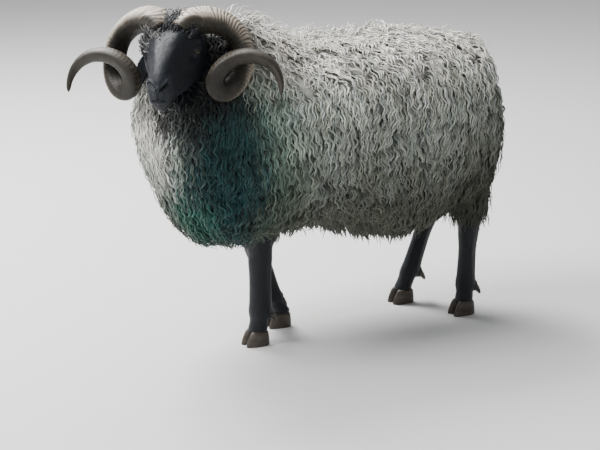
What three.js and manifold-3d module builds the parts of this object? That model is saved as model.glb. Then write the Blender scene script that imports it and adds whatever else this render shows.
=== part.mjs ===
// A horned blackface ram at life size, standing on four hooves with its head turned to its left.
// Millimetres, +Z up. The ram faces -X, so its left side is towards -Y. The floor is z = 0.
// The fleece is modelled out to the tips of its locks, and the bare parts out to their short hair.

import * as THREE from "three";
import { mergeVertices } from "three/addons/utils/BufferGeometryUtils.js";
import Module from "manifold-3d";

const wasm = await Module();
wasm.setup();

const V = (x, y, z) => new THREE.Vector3(x, y, z);
const rad = THREE.MathUtils.degToRad;

// ---------------------------------------------------------------- driving dimensions
const GAP = 0.3; // between pieces that touch

// The fleece from the rump to the nape: the middle of each slice, its reach to each side, up and down,
// how much slimmer it is at its top than at its bottom, how far it leans back at its top, and how far
// it turns to the ram's left, in degrees.
const FLEECE = [
  { at: V(426, 0, 516), wide: 56, high: 66, low: 87, slim: 0, lean: 0, turn: 0 },
  { at: V(390, 0, 520), wide: 125, high: 153, low: 182, slim: 0, lean: 0, turn: 0 },
  { at: V(350, 0, 536), wide: 185, high: 226, low: 244, slim: 0, lean: 1, turn: 0 },
  { at: V(269, 0, 532), wide: 223, high: 247, low: 261, slim: 0, lean: 4, turn: 0 },
  { at: V(135, 0, 531), wide: 246, high: 272, low: 307, slim: 0, lean: 4, turn: 0 },
  { at: V(-8, 0, 541), wide: 254, high: 260, low: 295, slim: 0, lean: 3, turn: 0 },
  { at: V(-145, 0, 550), wide: 250, high: 250, low: 268, slim: 0, lean: 8, turn: 0 },
  { at: V(-255, 0, 550), wide: 237, high: 244, low: 302, slim: 0.05, lean: 18, turn: 0 },
  { at: V(-333, 0, 579), wide: 221, high: 236, low: 327, slim: 0.2, lean: 26, turn: 0 },
  { at: V(-400, -3, 643), wide: 207, high: 220, low: 285, slim: 0.38, lean: 35, turn: 3 },
  { at: V(-457, -8, 711), wide: 186, high: 192, low: 222, slim: 0.52, lean: 45, turn: 8 },
  { at: V(-484, -4, 742), wide: 145, high: 140, low: 158, slim: 0.5, lean: 48, turn: 18 },
  { at: V(-497, 4, 776), wide: 84, high: 80, low: 96, slim: 0.2, lean: 42, turn: 34 },
  { at: V(-502, 6, 786), wide: 44, high: 40, low: 48, slim: 0, lean: 40, turn: 42 },
];
const FLEECE_SQUARE = 2.25; // 2 is an ellipse, and more is boxier
const FLEECE_SLICES = 28;
const FLEECE_POINTS = 30; // round each slice
const NECK_SLICE = 17; // the neck begins at this slice from the rump

const HEAD = { at: V(-566, -88, 789), yaw: 53, pitch: 9.7, roll: 0.8 }; // the midpoint between the eyes

// The head, in its own frame: x to the nose, y to its left, z up, from the midpoint between the eyes.
// Each slice gives the top line, the flat of the forehead or nose, the widest place, the jaw and the
// bottom line.
const SKULL = [
  { x: -128, top: 30, flat: 24, wide: 46, wideAt: -12, jaw: 34, jawAt: -58, low: -78 },
  { x: -112, top: 56, flat: 36, wide: 62, wideAt: -4, jaw: 50, jawAt: -76, low: -102 },
  { x: -80, top: 72, flat: 44, wide: 72, wideAt: 4, jaw: 56, jawAt: -84, low: -114 },
  { x: -40, top: 78, flat: 46, wide: 75, wideAt: 12, jaw: 56, jawAt: -82, low: -112 },
  { x: 0, top: 74, flat: 43, wide: 72, wideAt: 18, jaw: 49, jawAt: -76, low: -104 },
  { x: 40, top: 65, flat: 31, wide: 55, wideAt: 4, jaw: 42, jawAt: -70, low: -98 },
  { x: 80, top: 50, flat: 22, wide: 42, wideAt: -8, jaw: 35, jawAt: -66, low: -94 },
  { x: 120, top: 31, flat: 18, wide: 36, wideAt: -18, jaw: 31, jawAt: -66, low: -93 },
  { x: 148, top: 13, flat: 16, wide: 32, wideAt: -26, jaw: 27, jawAt: -68, low: -92 },
  { x: 165, top: -4, flat: 12, wide: 25, wideAt: -32, jaw: 21, jawAt: -66, low: -84 },
  { x: 173, top: -20, flat: 6, wide: 13, wideAt: -38, jaw: 10, jawAt: -58, low: -68 },
];
const FLAT_DROP = 6; // how far the edge of the flat lies under the top line
const SKULL_SLICES = 25;
const SKULL_POINTS = 24; // round each slice
// Swellings and hollows of the head: where, how wide each way, and how far out.
const RELIEF = [
  { name: "brow", at: V(-4, 74, 34), size: V(26, 22, 13), push: 10 },
  { name: "eye hollow", at: V(14, 70, 2), size: V(20, 18, 14), push: -7 },
  { name: "cheek", at: V(-52, 66, -48), size: V(38, 26, 34), push: 6 },
  { name: "face hollow", at: V(58, 52, -22), size: V(32, 20, 20), push: -4 },
  { name: "nostril wing", at: V(150, 27, -10), size: V(15, 11, 13), push: 5 },
  { name: "nostril", at: V(163, 21, -13), size: V(9, 7, 9), push: -6 },
  { name: "upper lip", at: V(140, 33, -40), size: V(30, 14, 10), push: 4 },
];
const LIPS = { corner: 92, height: -54 }; // where the lips part, ahead of and below the eyes' midpoint
const MUZZLE_START = 68; // the muzzle begins this far ahead of the eyes
const EYE = { at: V(3, 58, 13), radius: 17, facets: 12 };

// Each ear hangs down from behind the eye, cupped along its length, with its hollow turned forward.
const EAR = {
  root: V(-56, 65, -14),
  length: 122,
  width: 52,
  thick: 9,
  droop: 64,
  back: 4,
  twist: 40,
  cup: 0.35,
};
const EAR_HOLLOW = { at: V(-52, 104, -66), size: V(48, 66, 84) }; // the wool stands back from the ear

// Each horn coils outward from the poll. s counts quarter turns, from the top of the first one.
const HORN = {
  from: -0.75,
  to: 5.15,
  across: [92.5, 26.6, -1.02], // centre of the coil from the midline, as powers of s
  height: [26, -40.8, 3.84], // centre of the coil above the eyes
  ahead: [-64.6, 4.7, 2.77], // forward of the eyes
  sweep: 35.7, // how far the coil swings back and forward
  sweepAt: 0.64,
  curl: [28, 35, 41.5, 44, 51, 59, 65.5, 70, 66], // radius of the coil at even steps from root to tip
  half: [33, 31, 28.5, 28, 27, 24, 20.5, 15.5, 4.5], // half the horn's thickness at the same steps
  broad: [1.28, 1.08], // its width over its thickness, at root and tip
  corner: 0.09, // how far the three corners of its section stand out
};
const HORN_PARTS = ["base", "middle", "curl", "tip"];
const HORN_SLICES = 7; // of each part
const HORN_POINTS = 14; // round each slice

// The middle of each leg at the floor, fetlock, knee or hock, and inside the fleece.
const LEGS = [
  {
    name: "front_left",
    hoof: V(-320, -58, 0),
    fetlock: V(-312, -60, 92),
    knee: V(-314, -64, 272),
    top: V(-300, -92, 400),
    front: true,
  },
  {
    name: "front_right",
    hoof: V(-192, 58, 0),
    fetlock: V(-217, 60, 90),
    knee: V(-272, 66, 262),
    top: V(-280, 90, 400),
    front: true,
  },
  {
    name: "hind_left",
    hoof: V(304, -88, 0),
    fetlock: V(309, -89, 88),
    knee: V(314, -92, 262),
    top: V(280, -112, 420),
    front: false,
  },
  {
    name: "hind_right",
    hoof: V(217, 88, 0),
    fetlock: V(242, 89, 92),
    knee: V(308, 92, 262),
    top: V(270, 112, 420),
    front: false,
  },
];
const CORONET = 38; // where the hair meets the hoof
const CLAW = { width: 26, cleft: 4, toe: 40, heel: 27 };
const DEWCLAW = { below: 8, back: 34, apart: 13, radius: 9, length: 26 }; // from the fetlock
// Half depth and half width of a leg at even steps from its top to the hoof.
const FRONT_SECTIONS = [
  [64, 50],
  [50, 43],
  [37, 34],
  [34, 30],
  [31, 28],
  [31, 29],
  [26, 26],
  [27, 27],
  [27, 26],
];
const HIND_SECTIONS = [
  [80, 54],
  [60, 43],
  [36, 31],
  [30, 27],
  [26, 25],
  [28, 26],
  [25, 25],
  [26, 26],
  [26, 26],
];

const TAIL = [
  { at: V(372, 0, 660), deep: 22, wide: 34 },
  { at: V(412, 0, 628), deep: 30, wide: 46 },
  { at: V(436, 0, 560), deep: 32, wide: 50 },
  { at: V(442, 0, 470), deep: 31, wide: 46 },
  { at: V(432, 0, 396), deep: 24, wide: 34 },
  { at: V(428, 0, 372), deep: 8, wide: 12 },
];

// ---------------------------------------------------------------- solids
/** A geometry as a solid with its faces out. */
function solidOf(geometry) {
  const bare = new THREE.BufferGeometry().setAttribute("position", geometry.getAttribute("position"));
  bare.setIndex(geometry.index);
  const merged = mergeVertices(bare, 1e-3);
  const triVerts = new Uint32Array(merged.index.array);
  const vertProperties = merged.attributes.position.array;
  const build = () => new wasm.Manifold(new wasm.Mesh({ numProp: 3, vertProperties, triVerts }));
  const solid = build();
  if (solid.volume() > 0) return solid;
  for (let i = 0; i < triVerts.length; i += 3)
    [triVerts[i + 1], triVerts[i + 2]] = [triVerts[i + 2], triVerts[i + 1]];
  return build();
}

/** The largest single body of a solid, as a geometry. */
function geometryOf(solid) {
  const body = solid.decompose().reduce((a, b) => (a.volume() > b.volume() ? a : b));
  const mesh = body.getMesh();
  return new THREE.BufferGeometry()
    .setAttribute("position", new THREE.BufferAttribute(mesh.vertProperties, 3))
    .setIndex(new THREE.BufferAttribute(mesh.triVerts, 1));
}

/** A box from its lowest to its highest corner. */
function block(low, high) {
  const size = high.clone().sub(low);
  const centre = low.clone().add(high).divideScalar(2);
  return solidOf(new THREE.BoxGeometry(size.x, size.y, size.z).translate(centre.x, centre.y, centre.z));
}

const middle = (ring) => ring.reduce((a, p) => a.add(p), V(0, 0, 0)).divideScalar(ring.length);

/** A ring moved by the gap towards the next ring. */
function shifted(ring, next) {
  const step = middle(next).sub(middle(ring)).setLength(GAP);
  return ring.map((p) => p.clone().add(step));
}

/** A closed body through rings of equally many points, with a fan on each end. */
function loft(rings) {
  const count = rings[0].length;
  const last = (rings.length - 1) * count;
  const apex = rings.length * count;
  const faces = [];
  for (let i = 0; i < count; i++) {
    const j = (i + 1) % count;
    for (let r = 0; r < last; r += count)
      faces.push(r + i, r + j, r + count + j, r + i, r + count + j, r + count + i);
    faces.push(apex, j, i, apex + 1, last + i, last + j);
  }
  const points = [...rings.flat(), middle(rings[0]), middle(rings.at(-1))];
  return new THREE.BufferGeometry().setFromPoints(points).setIndex(faces);
}

/** A function of t from 0 to 1 that runs smoothly through evenly spaced values. */
function along(values) {
  const line = new THREE.CatmullRomCurve3(values.map((v) => V(v, 0, 0)), false, "catmullrom", 0.5);
  return (t) => line.getPoint(THREE.MathUtils.clamp(t, 0, 1)).x;
}

const signedPower = (v, power) => Math.sign(v) * Math.abs(v) ** power;
const steps = (count) => Array.from({ length: count + 1 }, (_, i) => i / count);
const powers = ([a, b, c], s) => a + b * s + c * s * s;

/** Points round a centre along two directions: half widths sideways, up and down, slimmer at the top. */
function oval(centre, side, up, { wide, high, low, slim = 0 }, square, count) {
  return steps(count).slice(1).map((t) => {
    const rise = signedPower(Math.sin(2 * Math.PI * t), 2 / square);
    const narrowed = wide * (1 - (slim * (1 + rise)) / 2);
    const across = narrowed * signedPower(Math.cos(2 * Math.PI * t), 2 / square);
    return centre.clone().addScaledVector(side, across).addScaledVector(up, rise * (rise > 0 ? high : low));
  });
}

/** A limb through stations: the middle, half depth along x and half width along y of each. */
function limb(stations, slices, points, grow) {
  const line = new THREE.CatmullRomCurve3(stations.map((s) => s.at), false, "catmullrom", 0.5);
  const deep = along(stations.map((s) => s.deep + grow));
  const wide = along(stations.map((s) => s.wide + grow));
  return loft(
    steps(slices).map((t) => {
      const reach = { wide: deep(t), high: wide(t), low: wide(t) };
      return oval(line.getPoint(t), V(1, 0, 0), V(0, 1, 0), reach, 2.1, points);
    }),
  );
}

// ---------------------------------------------------------------- fleece
/** Slices of the fleece from the rump to the nape, grown outward by a distance. */
function fleeceRings(grow) {
  const line = new THREE.CatmullRomCurve3(FLEECE.map((s) => s.at), false, "catmullrom", 0.5);
  const keys = ["wide", "high", "low", "slim", "lean", "turn"];
  const values = Object.fromEntries(keys.map((key) => [key, along(FLEECE.map((s) => s[key]))]));
  return steps(FLEECE_SLICES).map((t) => {
    const turn = rad(values.turn(t));
    const lean = rad(values.lean(t));
    const ahead = V(-Math.cos(turn), -Math.sin(turn), 0);
    const side = V(Math.sin(turn), -Math.cos(turn), 0);
    const up = ahead.clone().multiplyScalar(-Math.sin(lean)).add(V(0, 0, Math.cos(lean)));
    const [wide, high, low] = [values.wide, values.high, values.low].map((value) => value(t) + grow);
    const reach = { wide, high, low, slim: values.slim(t) };
    const end = t === 1 ? 1 : t === 0 ? -1 : 0;
    const centre = line.getPoint(t).addScaledVector(ahead, end * grow);
    return oval(centre, side, up, reach, FLEECE_SQUARE, FLEECE_POINTS);
  });
}

// ---------------------------------------------------------------- head
/** A slice of the head, from the top line round its left side to the bottom line and back. */
function skullRing(t, values) {
  const v = Object.fromEntries(Object.keys(values).map((key) => [key, values[key](t)]));
  const half = [
    V(v.x, 0, v.top),
    V(v.x, v.flat, v.top - FLAT_DROP),
    V(v.x, v.wide, v.wideAt),
    V(v.x, v.jaw, v.jawAt),
    V(v.x, 0, v.low),
  ];
  const mirrored = half
    .slice(1, -1)
    .reverse()
    .map((p) => V(p.x, -p.y, p.z));
  const outline = new THREE.CatmullRomCurve3([...half, ...mirrored], true, "centripetal");
  return outline.getPoints(SKULL_POINTS).slice(0, -1);
}

/** Moves each point of a slice by the swellings and hollows near it, on both sides of the head. */
function relieve(ring) {
  const centre = V(ring[0].x, 0, -12);
  return ring.map((p) => {
    const out = p.clone().sub(centre).normalize();
    const here = V(p.x, Math.abs(p.y), p.z);
    const push = RELIEF.reduce((sum, r) => {
      const away = here.clone().sub(r.at).divide(r.size);
      return sum + r.push * Math.exp(-away.lengthSq());
    }, 0);
    return p.clone().addScaledVector(out, push);
  });
}

function headRings() {
  const keys = Object.keys(SKULL[0]);
  const values = Object.fromEntries(keys.map((key) => [key, along(SKULL.map((s) => s[key]))]));
  return steps(SKULL_SLICES - 1).map((t) => relieve(skullRing(t, values)));
}

/** The head with room for the gap all round. */
function headRoom() {
  const rings = headRings();
  const grown = rings.map((ring, i) => {
    const centre = middle(ring);
    const end = i === 0 ? -GAP : i === rings.length - 1 ? GAP : 0;
    return ring.map((p) => p.clone().add(p.clone().sub(centre).setLength(2 * GAP)).add(V(end, 0, 0)));
  });
  return solidOf(loft(grown));
}

function eyeBall(side, radius) {
  const ball = new THREE.SphereGeometry(radius, EYE.facets, EYE.facets / 2);
  return solidOf(ball.translate(EYE.at.x, side * EYE.at.y, EYE.at.z));
}

// ---------------------------------------------------------------- horns
const hornCurl = along(HORN.curl);
const hornHalf = along(HORN.half);

/** Middle of the left horn at s quarter turns. */
function hornAt(s) {
  const angle = (Math.PI / 2) * (1 - s);
  const curl = hornCurl((s - HORN.from) / (HORN.to - HORN.from));
  const swing = HORN.sweep * Math.cos((Math.PI / 2) * (s - HORN.sweepAt));
  return V(
    powers(HORN.ahead, s) - swing,
    powers(HORN.across, s) + curl * Math.cos(angle),
    powers(HORN.height, s) + curl * Math.sin(angle),
  );
}

/** Slices of a horn from root to tip, broad side outward, grown by a distance. */
function hornRings(side, grow) {
  return steps(HORN_PARTS.length * HORN_SLICES).map((t) => {
    const s = HORN.from + (HORN.to - HORN.from) * t;
    const ahead = hornAt(s + 0.01).sub(hornAt(s - 0.01)).normalize();
    const broad = V(1, 0, 0).addScaledVector(ahead, -ahead.x).normalize();
    const out = broad.clone().cross(ahead);
    const breadth = THREE.MathUtils.lerp(...HORN.broad, t);
    return steps(HORN_POINTS).slice(1).map((u) => {
      const angle = 2 * Math.PI * u;
      const reach = hornHalf(t) * (1 - HORN.corner * Math.cos(3 * angle)) + grow;
      const p = hornAt(s)
        .addScaledVector(broad, reach * breadth * Math.sin(angle))
        .addScaledVector(out, reach * Math.cos(angle));
      return V(p.x, side * p.y, p.z);
    });
  });
}

/** The lengths of a horn, which share their end slices but for the gap. */
function hornLengths(side) {
  const rings = hornRings(side, 0);
  return HORN_PARTS.map((_, part) => {
    const own = rings.slice(part * HORN_SLICES, (part + 1) * HORN_SLICES + 1);
    return solidOf(loft(part ? [shifted(own[0], own[1]), ...own.slice(1)] : own));
  });
}

// ---------------------------------------------------------------- ears
/** A leaf-shaped, slightly cupped ear, drawn along its own length. */
function ear(side) {
  const droop = rad(EAR.droop);
  const back = rad(EAR.back);
  const ahead = V(-Math.sin(back), Math.cos(back) * Math.cos(droop), -Math.cos(back) * Math.sin(droop));
  const level = V(1, 0, 0).addScaledVector(ahead, -ahead.x).normalize();
  const across = level.applyAxisAngle(ahead, rad(EAR.twist));
  const up = ahead.clone().cross(across);
  const rings = steps(9).map((t) => {
    const share = -0.12 + 1.12 * t;
    const leaf = Math.max(0.06, Math.sin(Math.PI * Math.min(1, 0.2 + 0.8 * share) ** 1.15));
    const thick = (EAR.thick / 2 + (1 - share) * 5) * (0.4 + 0.6 * leaf);
    return steps(12).slice(1).map((u) => {
      const w = (EAR.width / 2) * leaf * Math.cos(2 * Math.PI * u);
      const rise = thick * Math.sin(2 * Math.PI * u) - (EAR.cup * w * w) / EAR.width;
      const p = EAR.root
        .clone()
        .addScaledVector(ahead, EAR.length * share)
        .addScaledVector(across, w)
        .addScaledVector(up, rise);
      return V(p.x, side * p.y, p.z);
    });
  });
  return solidOf(loft(rings));
}

/** The hollow in the wool that leaves the ear free. */
function earHollow(side) {
  const { at, size } = EAR_HOLLOW;
  const ball = new THREE.SphereGeometry(1, 14, 10).scale(size.x, size.y, size.z);
  return solidOf(ball.translate(at.x, side * at.y, at.z));
}

// ---------------------------------------------------------------- legs and hooves
/** The bare leg, from inside the fleece down to the hoof. */
function leg({ hoof, fetlock, knee, top, front }, grow) {
  const shin = knee.clone().lerp(fetlock, 0.5);
  const coronet = hoof.clone().add(V(2, 0, CORONET + 8));
  const middles = [
    top,
    top.clone().lerp(knee, 0.55),
    knee,
    knee.clone().lerp(shin, 0.5),
    shin,
    fetlock,
    fetlock.clone().lerp(coronet, 0.55),
    coronet,
    coronet.clone().add(V(-1, 0, -8)),
  ];
  const sections = front ? FRONT_SECTIONS : HIND_SECTIONS;
  const stations = middles.map((at, i) => ({ at, deep: sections[i][0], wide: sections[i][1] }));
  return solidOf(limb(stations, 14, 12, grow));
}

/** One claw of a cloven hoof, from the floor up to the coronet. */
function claw({ hoof }, side) {
  const levels = [
    { z: 0, toe: CLAW.toe, heel: CLAW.heel, wide: 1 },
    { z: 13, toe: CLAW.toe - 3, heel: CLAW.heel, wide: 1 },
    { z: CORONET - GAP, toe: CLAW.toe - 15, heel: CLAW.heel - 3, wide: 0.94 },
  ];
  const centre = hoof.y + side * (CLAW.cleft / 2 + CLAW.width / 2);
  return loft(
    levels.map(({ z, toe, heel, wide }) =>
      steps(12).slice(1).map((t) => {
        const ahead = Math.cos(2 * Math.PI * t);
        const x = ahead > 0 ? -toe * ahead ** 0.9 : -heel * ahead;
        return V(hoof.x + x, centre + (CLAW.width / 2) * wide * Math.sin(2 * Math.PI * t), z);
      }),
    ),
  );
}

/** The small hanging claw behind the fetlock. */
function dewclaw({ fetlock }, side) {
  const root = fetlock.clone().add(V(DEWCLAW.back - 10, side * DEWCLAW.apart, -DEWCLAW.below));
  const tip = root.clone().add(V(16, 0, -DEWCLAW.length));
  return solidOf(
    loft(
      steps(3).map((t) => {
        const radius = DEWCLAW.radius * Math.sqrt(1.04 - t ** 2);
        const reach = { wide: radius, high: radius, low: radius };
        return oval(root.clone().lerp(tip, t), V(1, 0, 0), V(0, 1, 0), reach, 2, 6);
      }),
    ),
  );
}

// ---------------------------------------------------------------- assembly
const material = (color, roughness) => new THREE.MeshStandardMaterial({ color, roughness, metalness: 0 });
const wool = () => material(0xcfc8b6, 0.95);
const blackHair = () => material(0x17171b, 0.7);
const hornSheath = () => material(0x8d7a62, 0.6);
const hoofSheath = () => material(0x2a2622, 0.6);
const eyeball = () => material(0x6a4a1c, 0.08);

const ram = new THREE.Group();
const head = new THREE.Group();
ram.add(head);

function place(group, name, geometry, surface) {
  const mesh = new THREE.Mesh(geometry, surface);
  mesh.name = name;
  group.add(mesh);
}

const facing = new THREE.Matrix4().makeBasis(V(-1, 0, 0), V(0, -1, 0), V(0, 0, 1));
const turn = new THREE.Euler(rad(HEAD.roll), rad(HEAD.pitch), rad(HEAD.yaw), "ZYX");
head.applyMatrix4(facing.multiply(new THREE.Matrix4().makeRotationFromEuler(turn)));
head.position.copy(HEAD.at);
head.updateMatrixWorld(true);
const intoHead = head.matrixWorld.clone().invert();

const sides = [
  { side: 1, word: "left" },
  { side: -1, word: "right" },
];

// The fleece gives way to the horns, and the head, ears, legs and tail come out of the fleece.
const slices = fleeceRings(0);
const trunkSlices = slices.slice(0, NECK_SLICE + 1);
const neckSlices = [shifted(slices[NECK_SLICE], slices[NECK_SLICE + 1]), ...slices.slice(NECK_SLICE + 1)];
const fleeceRoom = loft(fleeceRings(2 * GAP));
const fleeceSolid = solidOf(fleeceRoom);
const fleeceInHead = solidOf(fleeceRoom.clone().applyMatrix4(intoHead));
const skullRoom = headRoom();
let neck = solidOf(loft(neckSlices).applyMatrix4(intoHead)).subtract(skullRoom);
for (const { side } of sides) {
  neck = neck.subtract(solidOf(loft(hornRings(side, GAP))));
  neck = neck.subtract(earHollow(side));
}
place(ram, "trunk", geometryOf(solidOf(loft(trunkSlices))), wool());
place(head, "neck", geometryOf(neck), wool());

let skull = solidOf(loft(headRings()));
for (const { side } of sides) skull = skull.subtract(eyeBall(side, EYE.radius + GAP));
const jawStart = LIPS.corner - 40;
const jawBlock = block(V(jawStart, -90, -200), V(200, 90, LIPS.height));
const jawRoom = block(V(jawStart - GAP, -91, -201), V(201, 91, LIPS.height + GAP));
const muzzleBlock = block(V(MUZZLE_START, -90, LIPS.height + GAP), V(200, 90, 100));
const muzzleRoom = block(V(MUZZLE_START - GAP, -91, LIPS.height), V(201, 91, 101));
place(head, "head", geometryOf(skull.subtract(jawRoom).subtract(muzzleRoom)), blackHair());
place(head, "muzzle", geometryOf(skull.intersect(muzzleBlock)), blackHair());
place(head, "lower_jaw", geometryOf(skull.intersect(jawBlock)), blackHair());

for (const { side, word } of sides) {
  place(head, `eye_${word}`, geometryOf(eyeBall(side, EYE.radius)), eyeball());
  hornLengths(side).forEach((length, i) => {
    const trimmed = i ? length : length.subtract(skullRoom);
    place(head, `horn_${word}_${HORN_PARTS[i]}`, geometryOf(trimmed), hornSheath());
  });
  const hornRoom = solidOf(loft(hornRings(side, GAP)));
  const wooled = fleeceInHead.subtract(earHollow(side));
  const trimmedEar = ear(side).subtract(skullRoom).subtract(wooled).subtract(hornRoom);
  place(head, `ear_${word}`, geometryOf(trimmedEar), blackHair());
}

const belowCoronet = block(V(-900, -400, -100), V(900, 400, CORONET));
for (const data of LEGS) {
  const bare = leg(data, 0).subtract(fleeceSolid).subtract(belowCoronet);
  place(ram, `leg_${data.name}`, geometryOf(bare), blackHair());
  const outward = data.name.endsWith("left") ? -1 : 1;
  for (const [word, side] of [
    ["outer", outward],
    ["inner", -outward],
  ]) {
    place(ram, `hoof_${data.name}_${word}`, geometryOf(solidOf(claw(data, side))), hoofSheath());
    const spur = dewclaw(data, side).subtract(leg(data, GAP));
    place(ram, `dewclaw_${data.name}_${word}`, geometryOf(spur), hoofSheath());
  }
}
place(ram, "tail", geometryOf(solidOf(limb(TAIL, 8, 12, 0)).subtract(fleeceSolid)), wool());

// The origin is on the floor, under the middle of the ram's length and width.
const bounds = new THREE.Box3().setFromObject(ram, true);
const centre = bounds.getCenter(V(0, 0, 0));
ram.position.set(-centre.x, -centre.y, -bounds.min.z);

export default ram;
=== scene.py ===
"""A life-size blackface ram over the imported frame: skin, fleece, short hair, horns, eyes and hooves.

Lengths in the tables are millimetres, because the solids are drawn in them; meshes are in metres.
The ram faces -X, its left side is -Y and it stands on z = 0.
"""

import math
from types import SimpleNamespace

import bpy
import numpy as np
from bpy.props import FloatProperty, FloatVectorProperty, IntProperty, PointerProperty
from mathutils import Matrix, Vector
from mathutils.bvhtree import BVHTree


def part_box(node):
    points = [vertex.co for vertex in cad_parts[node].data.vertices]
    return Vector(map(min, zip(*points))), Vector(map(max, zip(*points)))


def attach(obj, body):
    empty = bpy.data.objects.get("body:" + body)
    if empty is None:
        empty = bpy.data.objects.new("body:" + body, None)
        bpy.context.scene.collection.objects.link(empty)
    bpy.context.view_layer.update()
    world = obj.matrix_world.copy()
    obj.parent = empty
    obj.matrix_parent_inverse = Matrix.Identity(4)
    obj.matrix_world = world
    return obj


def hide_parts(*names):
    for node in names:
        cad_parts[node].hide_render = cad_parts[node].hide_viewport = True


bl_info = {
    "name": "Blackface Ram",
    "version": (1, 0, 0),
    "blender": (4, 5, 0),
    "location": "3D View > Sidebar > Ram",
    "description": "Builds the skin, fleece, hair, horns, eyes and hooves of a life-size ram",
    "category": "Add Mesh",
}

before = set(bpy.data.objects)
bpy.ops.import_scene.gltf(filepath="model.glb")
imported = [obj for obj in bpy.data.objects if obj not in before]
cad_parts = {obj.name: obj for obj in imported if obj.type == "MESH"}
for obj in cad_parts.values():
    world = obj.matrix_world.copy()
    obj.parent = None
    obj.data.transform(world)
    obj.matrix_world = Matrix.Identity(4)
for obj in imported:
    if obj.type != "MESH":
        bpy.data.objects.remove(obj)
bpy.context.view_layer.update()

# ---------------------------------------------------------------- the ram's named sizes
SIDES = {"left": 1, "right": -1}

# The fleece from the rump to the nape: middle of each slice, reach to each side, up and down, how much
# slimmer it is at its top, its lean and its turn in degrees, and how much of its reach is flesh.
FLEECE = [
    (426, 0, 516, 56, 66, 87, 0, 0, 0, 0.55),
    (390, 0, 520, 125, 153, 182, 0, 0, 0, 0.72),
    (350, 0, 536, 185, 226, 244, 0, 1, 0, 0.76),
    (269, 0, 532, 223, 247, 261, 0, 4, 0, 0.78),
    (135, 0, 531, 246, 272, 307, 0, 4, 0, 0.77),
    (-8, 0, 541, 254, 260, 295, 0, 3, 0, 0.76),
    (-145, 0, 550, 250, 250, 268, 0, 8, 0, 0.76),
    (-255, 0, 550, 237, 244, 302, 0.05, 18, 0, 0.74),
    (-333, 0, 579, 221, 236, 327, 0.2, 26, 0, 0.7),
    (-400, -3, 643, 207, 220, 285, 0.38, 35, 3, 0.66),
    (-457, -8, 711, 186, 192, 222, 0.52, 45, 8, 0.6),
    (-484, -4, 742, 145, 140, 158, 0.5, 48, 18, 0.55),
    (-497, 4, 776, 84, 80, 96, 0.2, 42, 34, 0.6),
    (-502, 6, 786, 44, 40, 48, 0, 40, 42, 0.7),
]
SHIFT = np.array([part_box("trunk")[1].x * 1000 - FLEECE[0][0], 0, 0])  # from the drawing to the frame
FLEECE_SQUARE = 2.25  # 2 is an ellipse, more is squarer
WOOL_DEPTH = 25  # less where a slice's last value leaves less
FRINGE = 18  # how far the wool of the belly hangs clear of it
NAPE = ((-175, 0, 815), (140, 85, 90), 24)  # where the wool stands proud behind the horns, and by how much

# The tail from its root to its tip: middle of each slice, half its width and half its depth.
TAIL = [
    (372, 0, 660, 22, 34),
    (412, 0, 628, 30, 46),
    (436, 0, 560, 32, 50),
    (442, 0, 470, 31, 46),
    (432, 0, 396, 24, 34),
    (428, 0, 372, 8, 12),
]
TAIL_FLESH = 0.45  # share of its reach

HEAD_AT = np.array([-566, -88, 789]) + SHIFT
HEAD_YAW, HEAD_PITCH, HEAD_ROLL = 53, 9.7, 0.8
# Slices of the head: x, top line, flat of the forehead, widest place and its height, jaw and its
# height, bottom line, in the head's own frame.
SKULL = [
    (-128, 30, 24, 46, -12, 34, -58, -78),
    (-112, 56, 36, 62, -4, 50, -76, -102),
    (-80, 72, 44, 72, 4, 56, -84, -114),
    (-40, 78, 46, 75, 12, 56, -82, -112),
    (0, 74, 43, 72, 18, 49, -76, -104),
    (40, 65, 31, 55, 4, 42, -70, -98),
    (80, 50, 22, 42, -8, 35, -66, -94),
    (120, 31, 18, 36, -18, 31, -66, -93),
    (148, 13, 16, 32, -26, 27, -68, -92),
    (165, -4, 12, 25, -32, 21, -66, -84),
    (173, -20, 6, 13, -38, 10, -58, -68),
]
FLAT_DROP = 6  # from the top line to the edges of the forehead's flat
NOSE_MIDDLE, NOSE_BULGE = -44, 3.0  # height of the middle of the nose's blunt end, and how far it swells
FACE_AXIS = -12  # height of the line that the face swells away from
# Swellings and hollows of the face: where, how wide each way, and how far out.
RELIEF = {
    "brow": ((-4, 74, 34), (26, 22, 13), 10),
    "eye hollow": ((14, 70, 2), (20, 18, 14), -7),
    "cheek": ((-52, 66, -48), (38, 26, 34), 6),
    "face hollow": ((58, 52, -22), (32, 20, 20), -4),
    "nostril wing": ((150, 28, -13), (15, 11, 12), 4.5),
    "nostril": ((166, 19, -26), (8, 7, 7), -3),
    "upper lip": ((140, 33, -40), (30, 14, 10), 4),
    "tear pit": ((27, 56, 0), (8, 9, 6), -3),
    "under eye": ((8, 74, -10), (18, 10, 6), 1.5),
    "chin": ((143, 0, -92), (16, 20, 10), 2.5),
    "lower lip": ((152, 22, -66), (16, 9, 6), 2),
    "jaw muscle": ((-30, 62, -40), (26, 20, 30), 3),
    "nose bridge edge": ((90, 24, 38), (40, 8, 10), 2),
}
# Creases of the face: points along each, how wide and how deep.
CREASES = {
    "mouth": (
        [(175, 0, -54), (169, 14, -57), (150, 27, -58), (125, 34, -55), (100, 38, -49), (90, 40, -46)],
        2.4,
        4.5,
    ),
    "lip cleft": ([(176, 0, -26), (175, 0, -54)], 1.8, 3.2),
    "nostril": ([(173, 6, -31), (171, 12, -27), (165, 18.5, -21), (160, 23, -17)], 3.3, 8.0),
    "cheek crease": ([(88, 42, -44), (70, 46, -30)], 4, 1.6),
    "brow crease": ([(24, 60, 30), (6, 70, 33), (-16, 74, 28)], 2.6, 1.8),
    "lower lid crease": ([(22, 64, 0), (6, 72, -4), (-12, 74, 2)], 2.4, 1.4),
}
# Along the floor of each nostril the skin is painted dark as shade inside the opening.
NOSTRIL_FLOOR = [(167, 4, -26), (165, 8, -23), (160, 13, -18), (156, 17, -15)]
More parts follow.
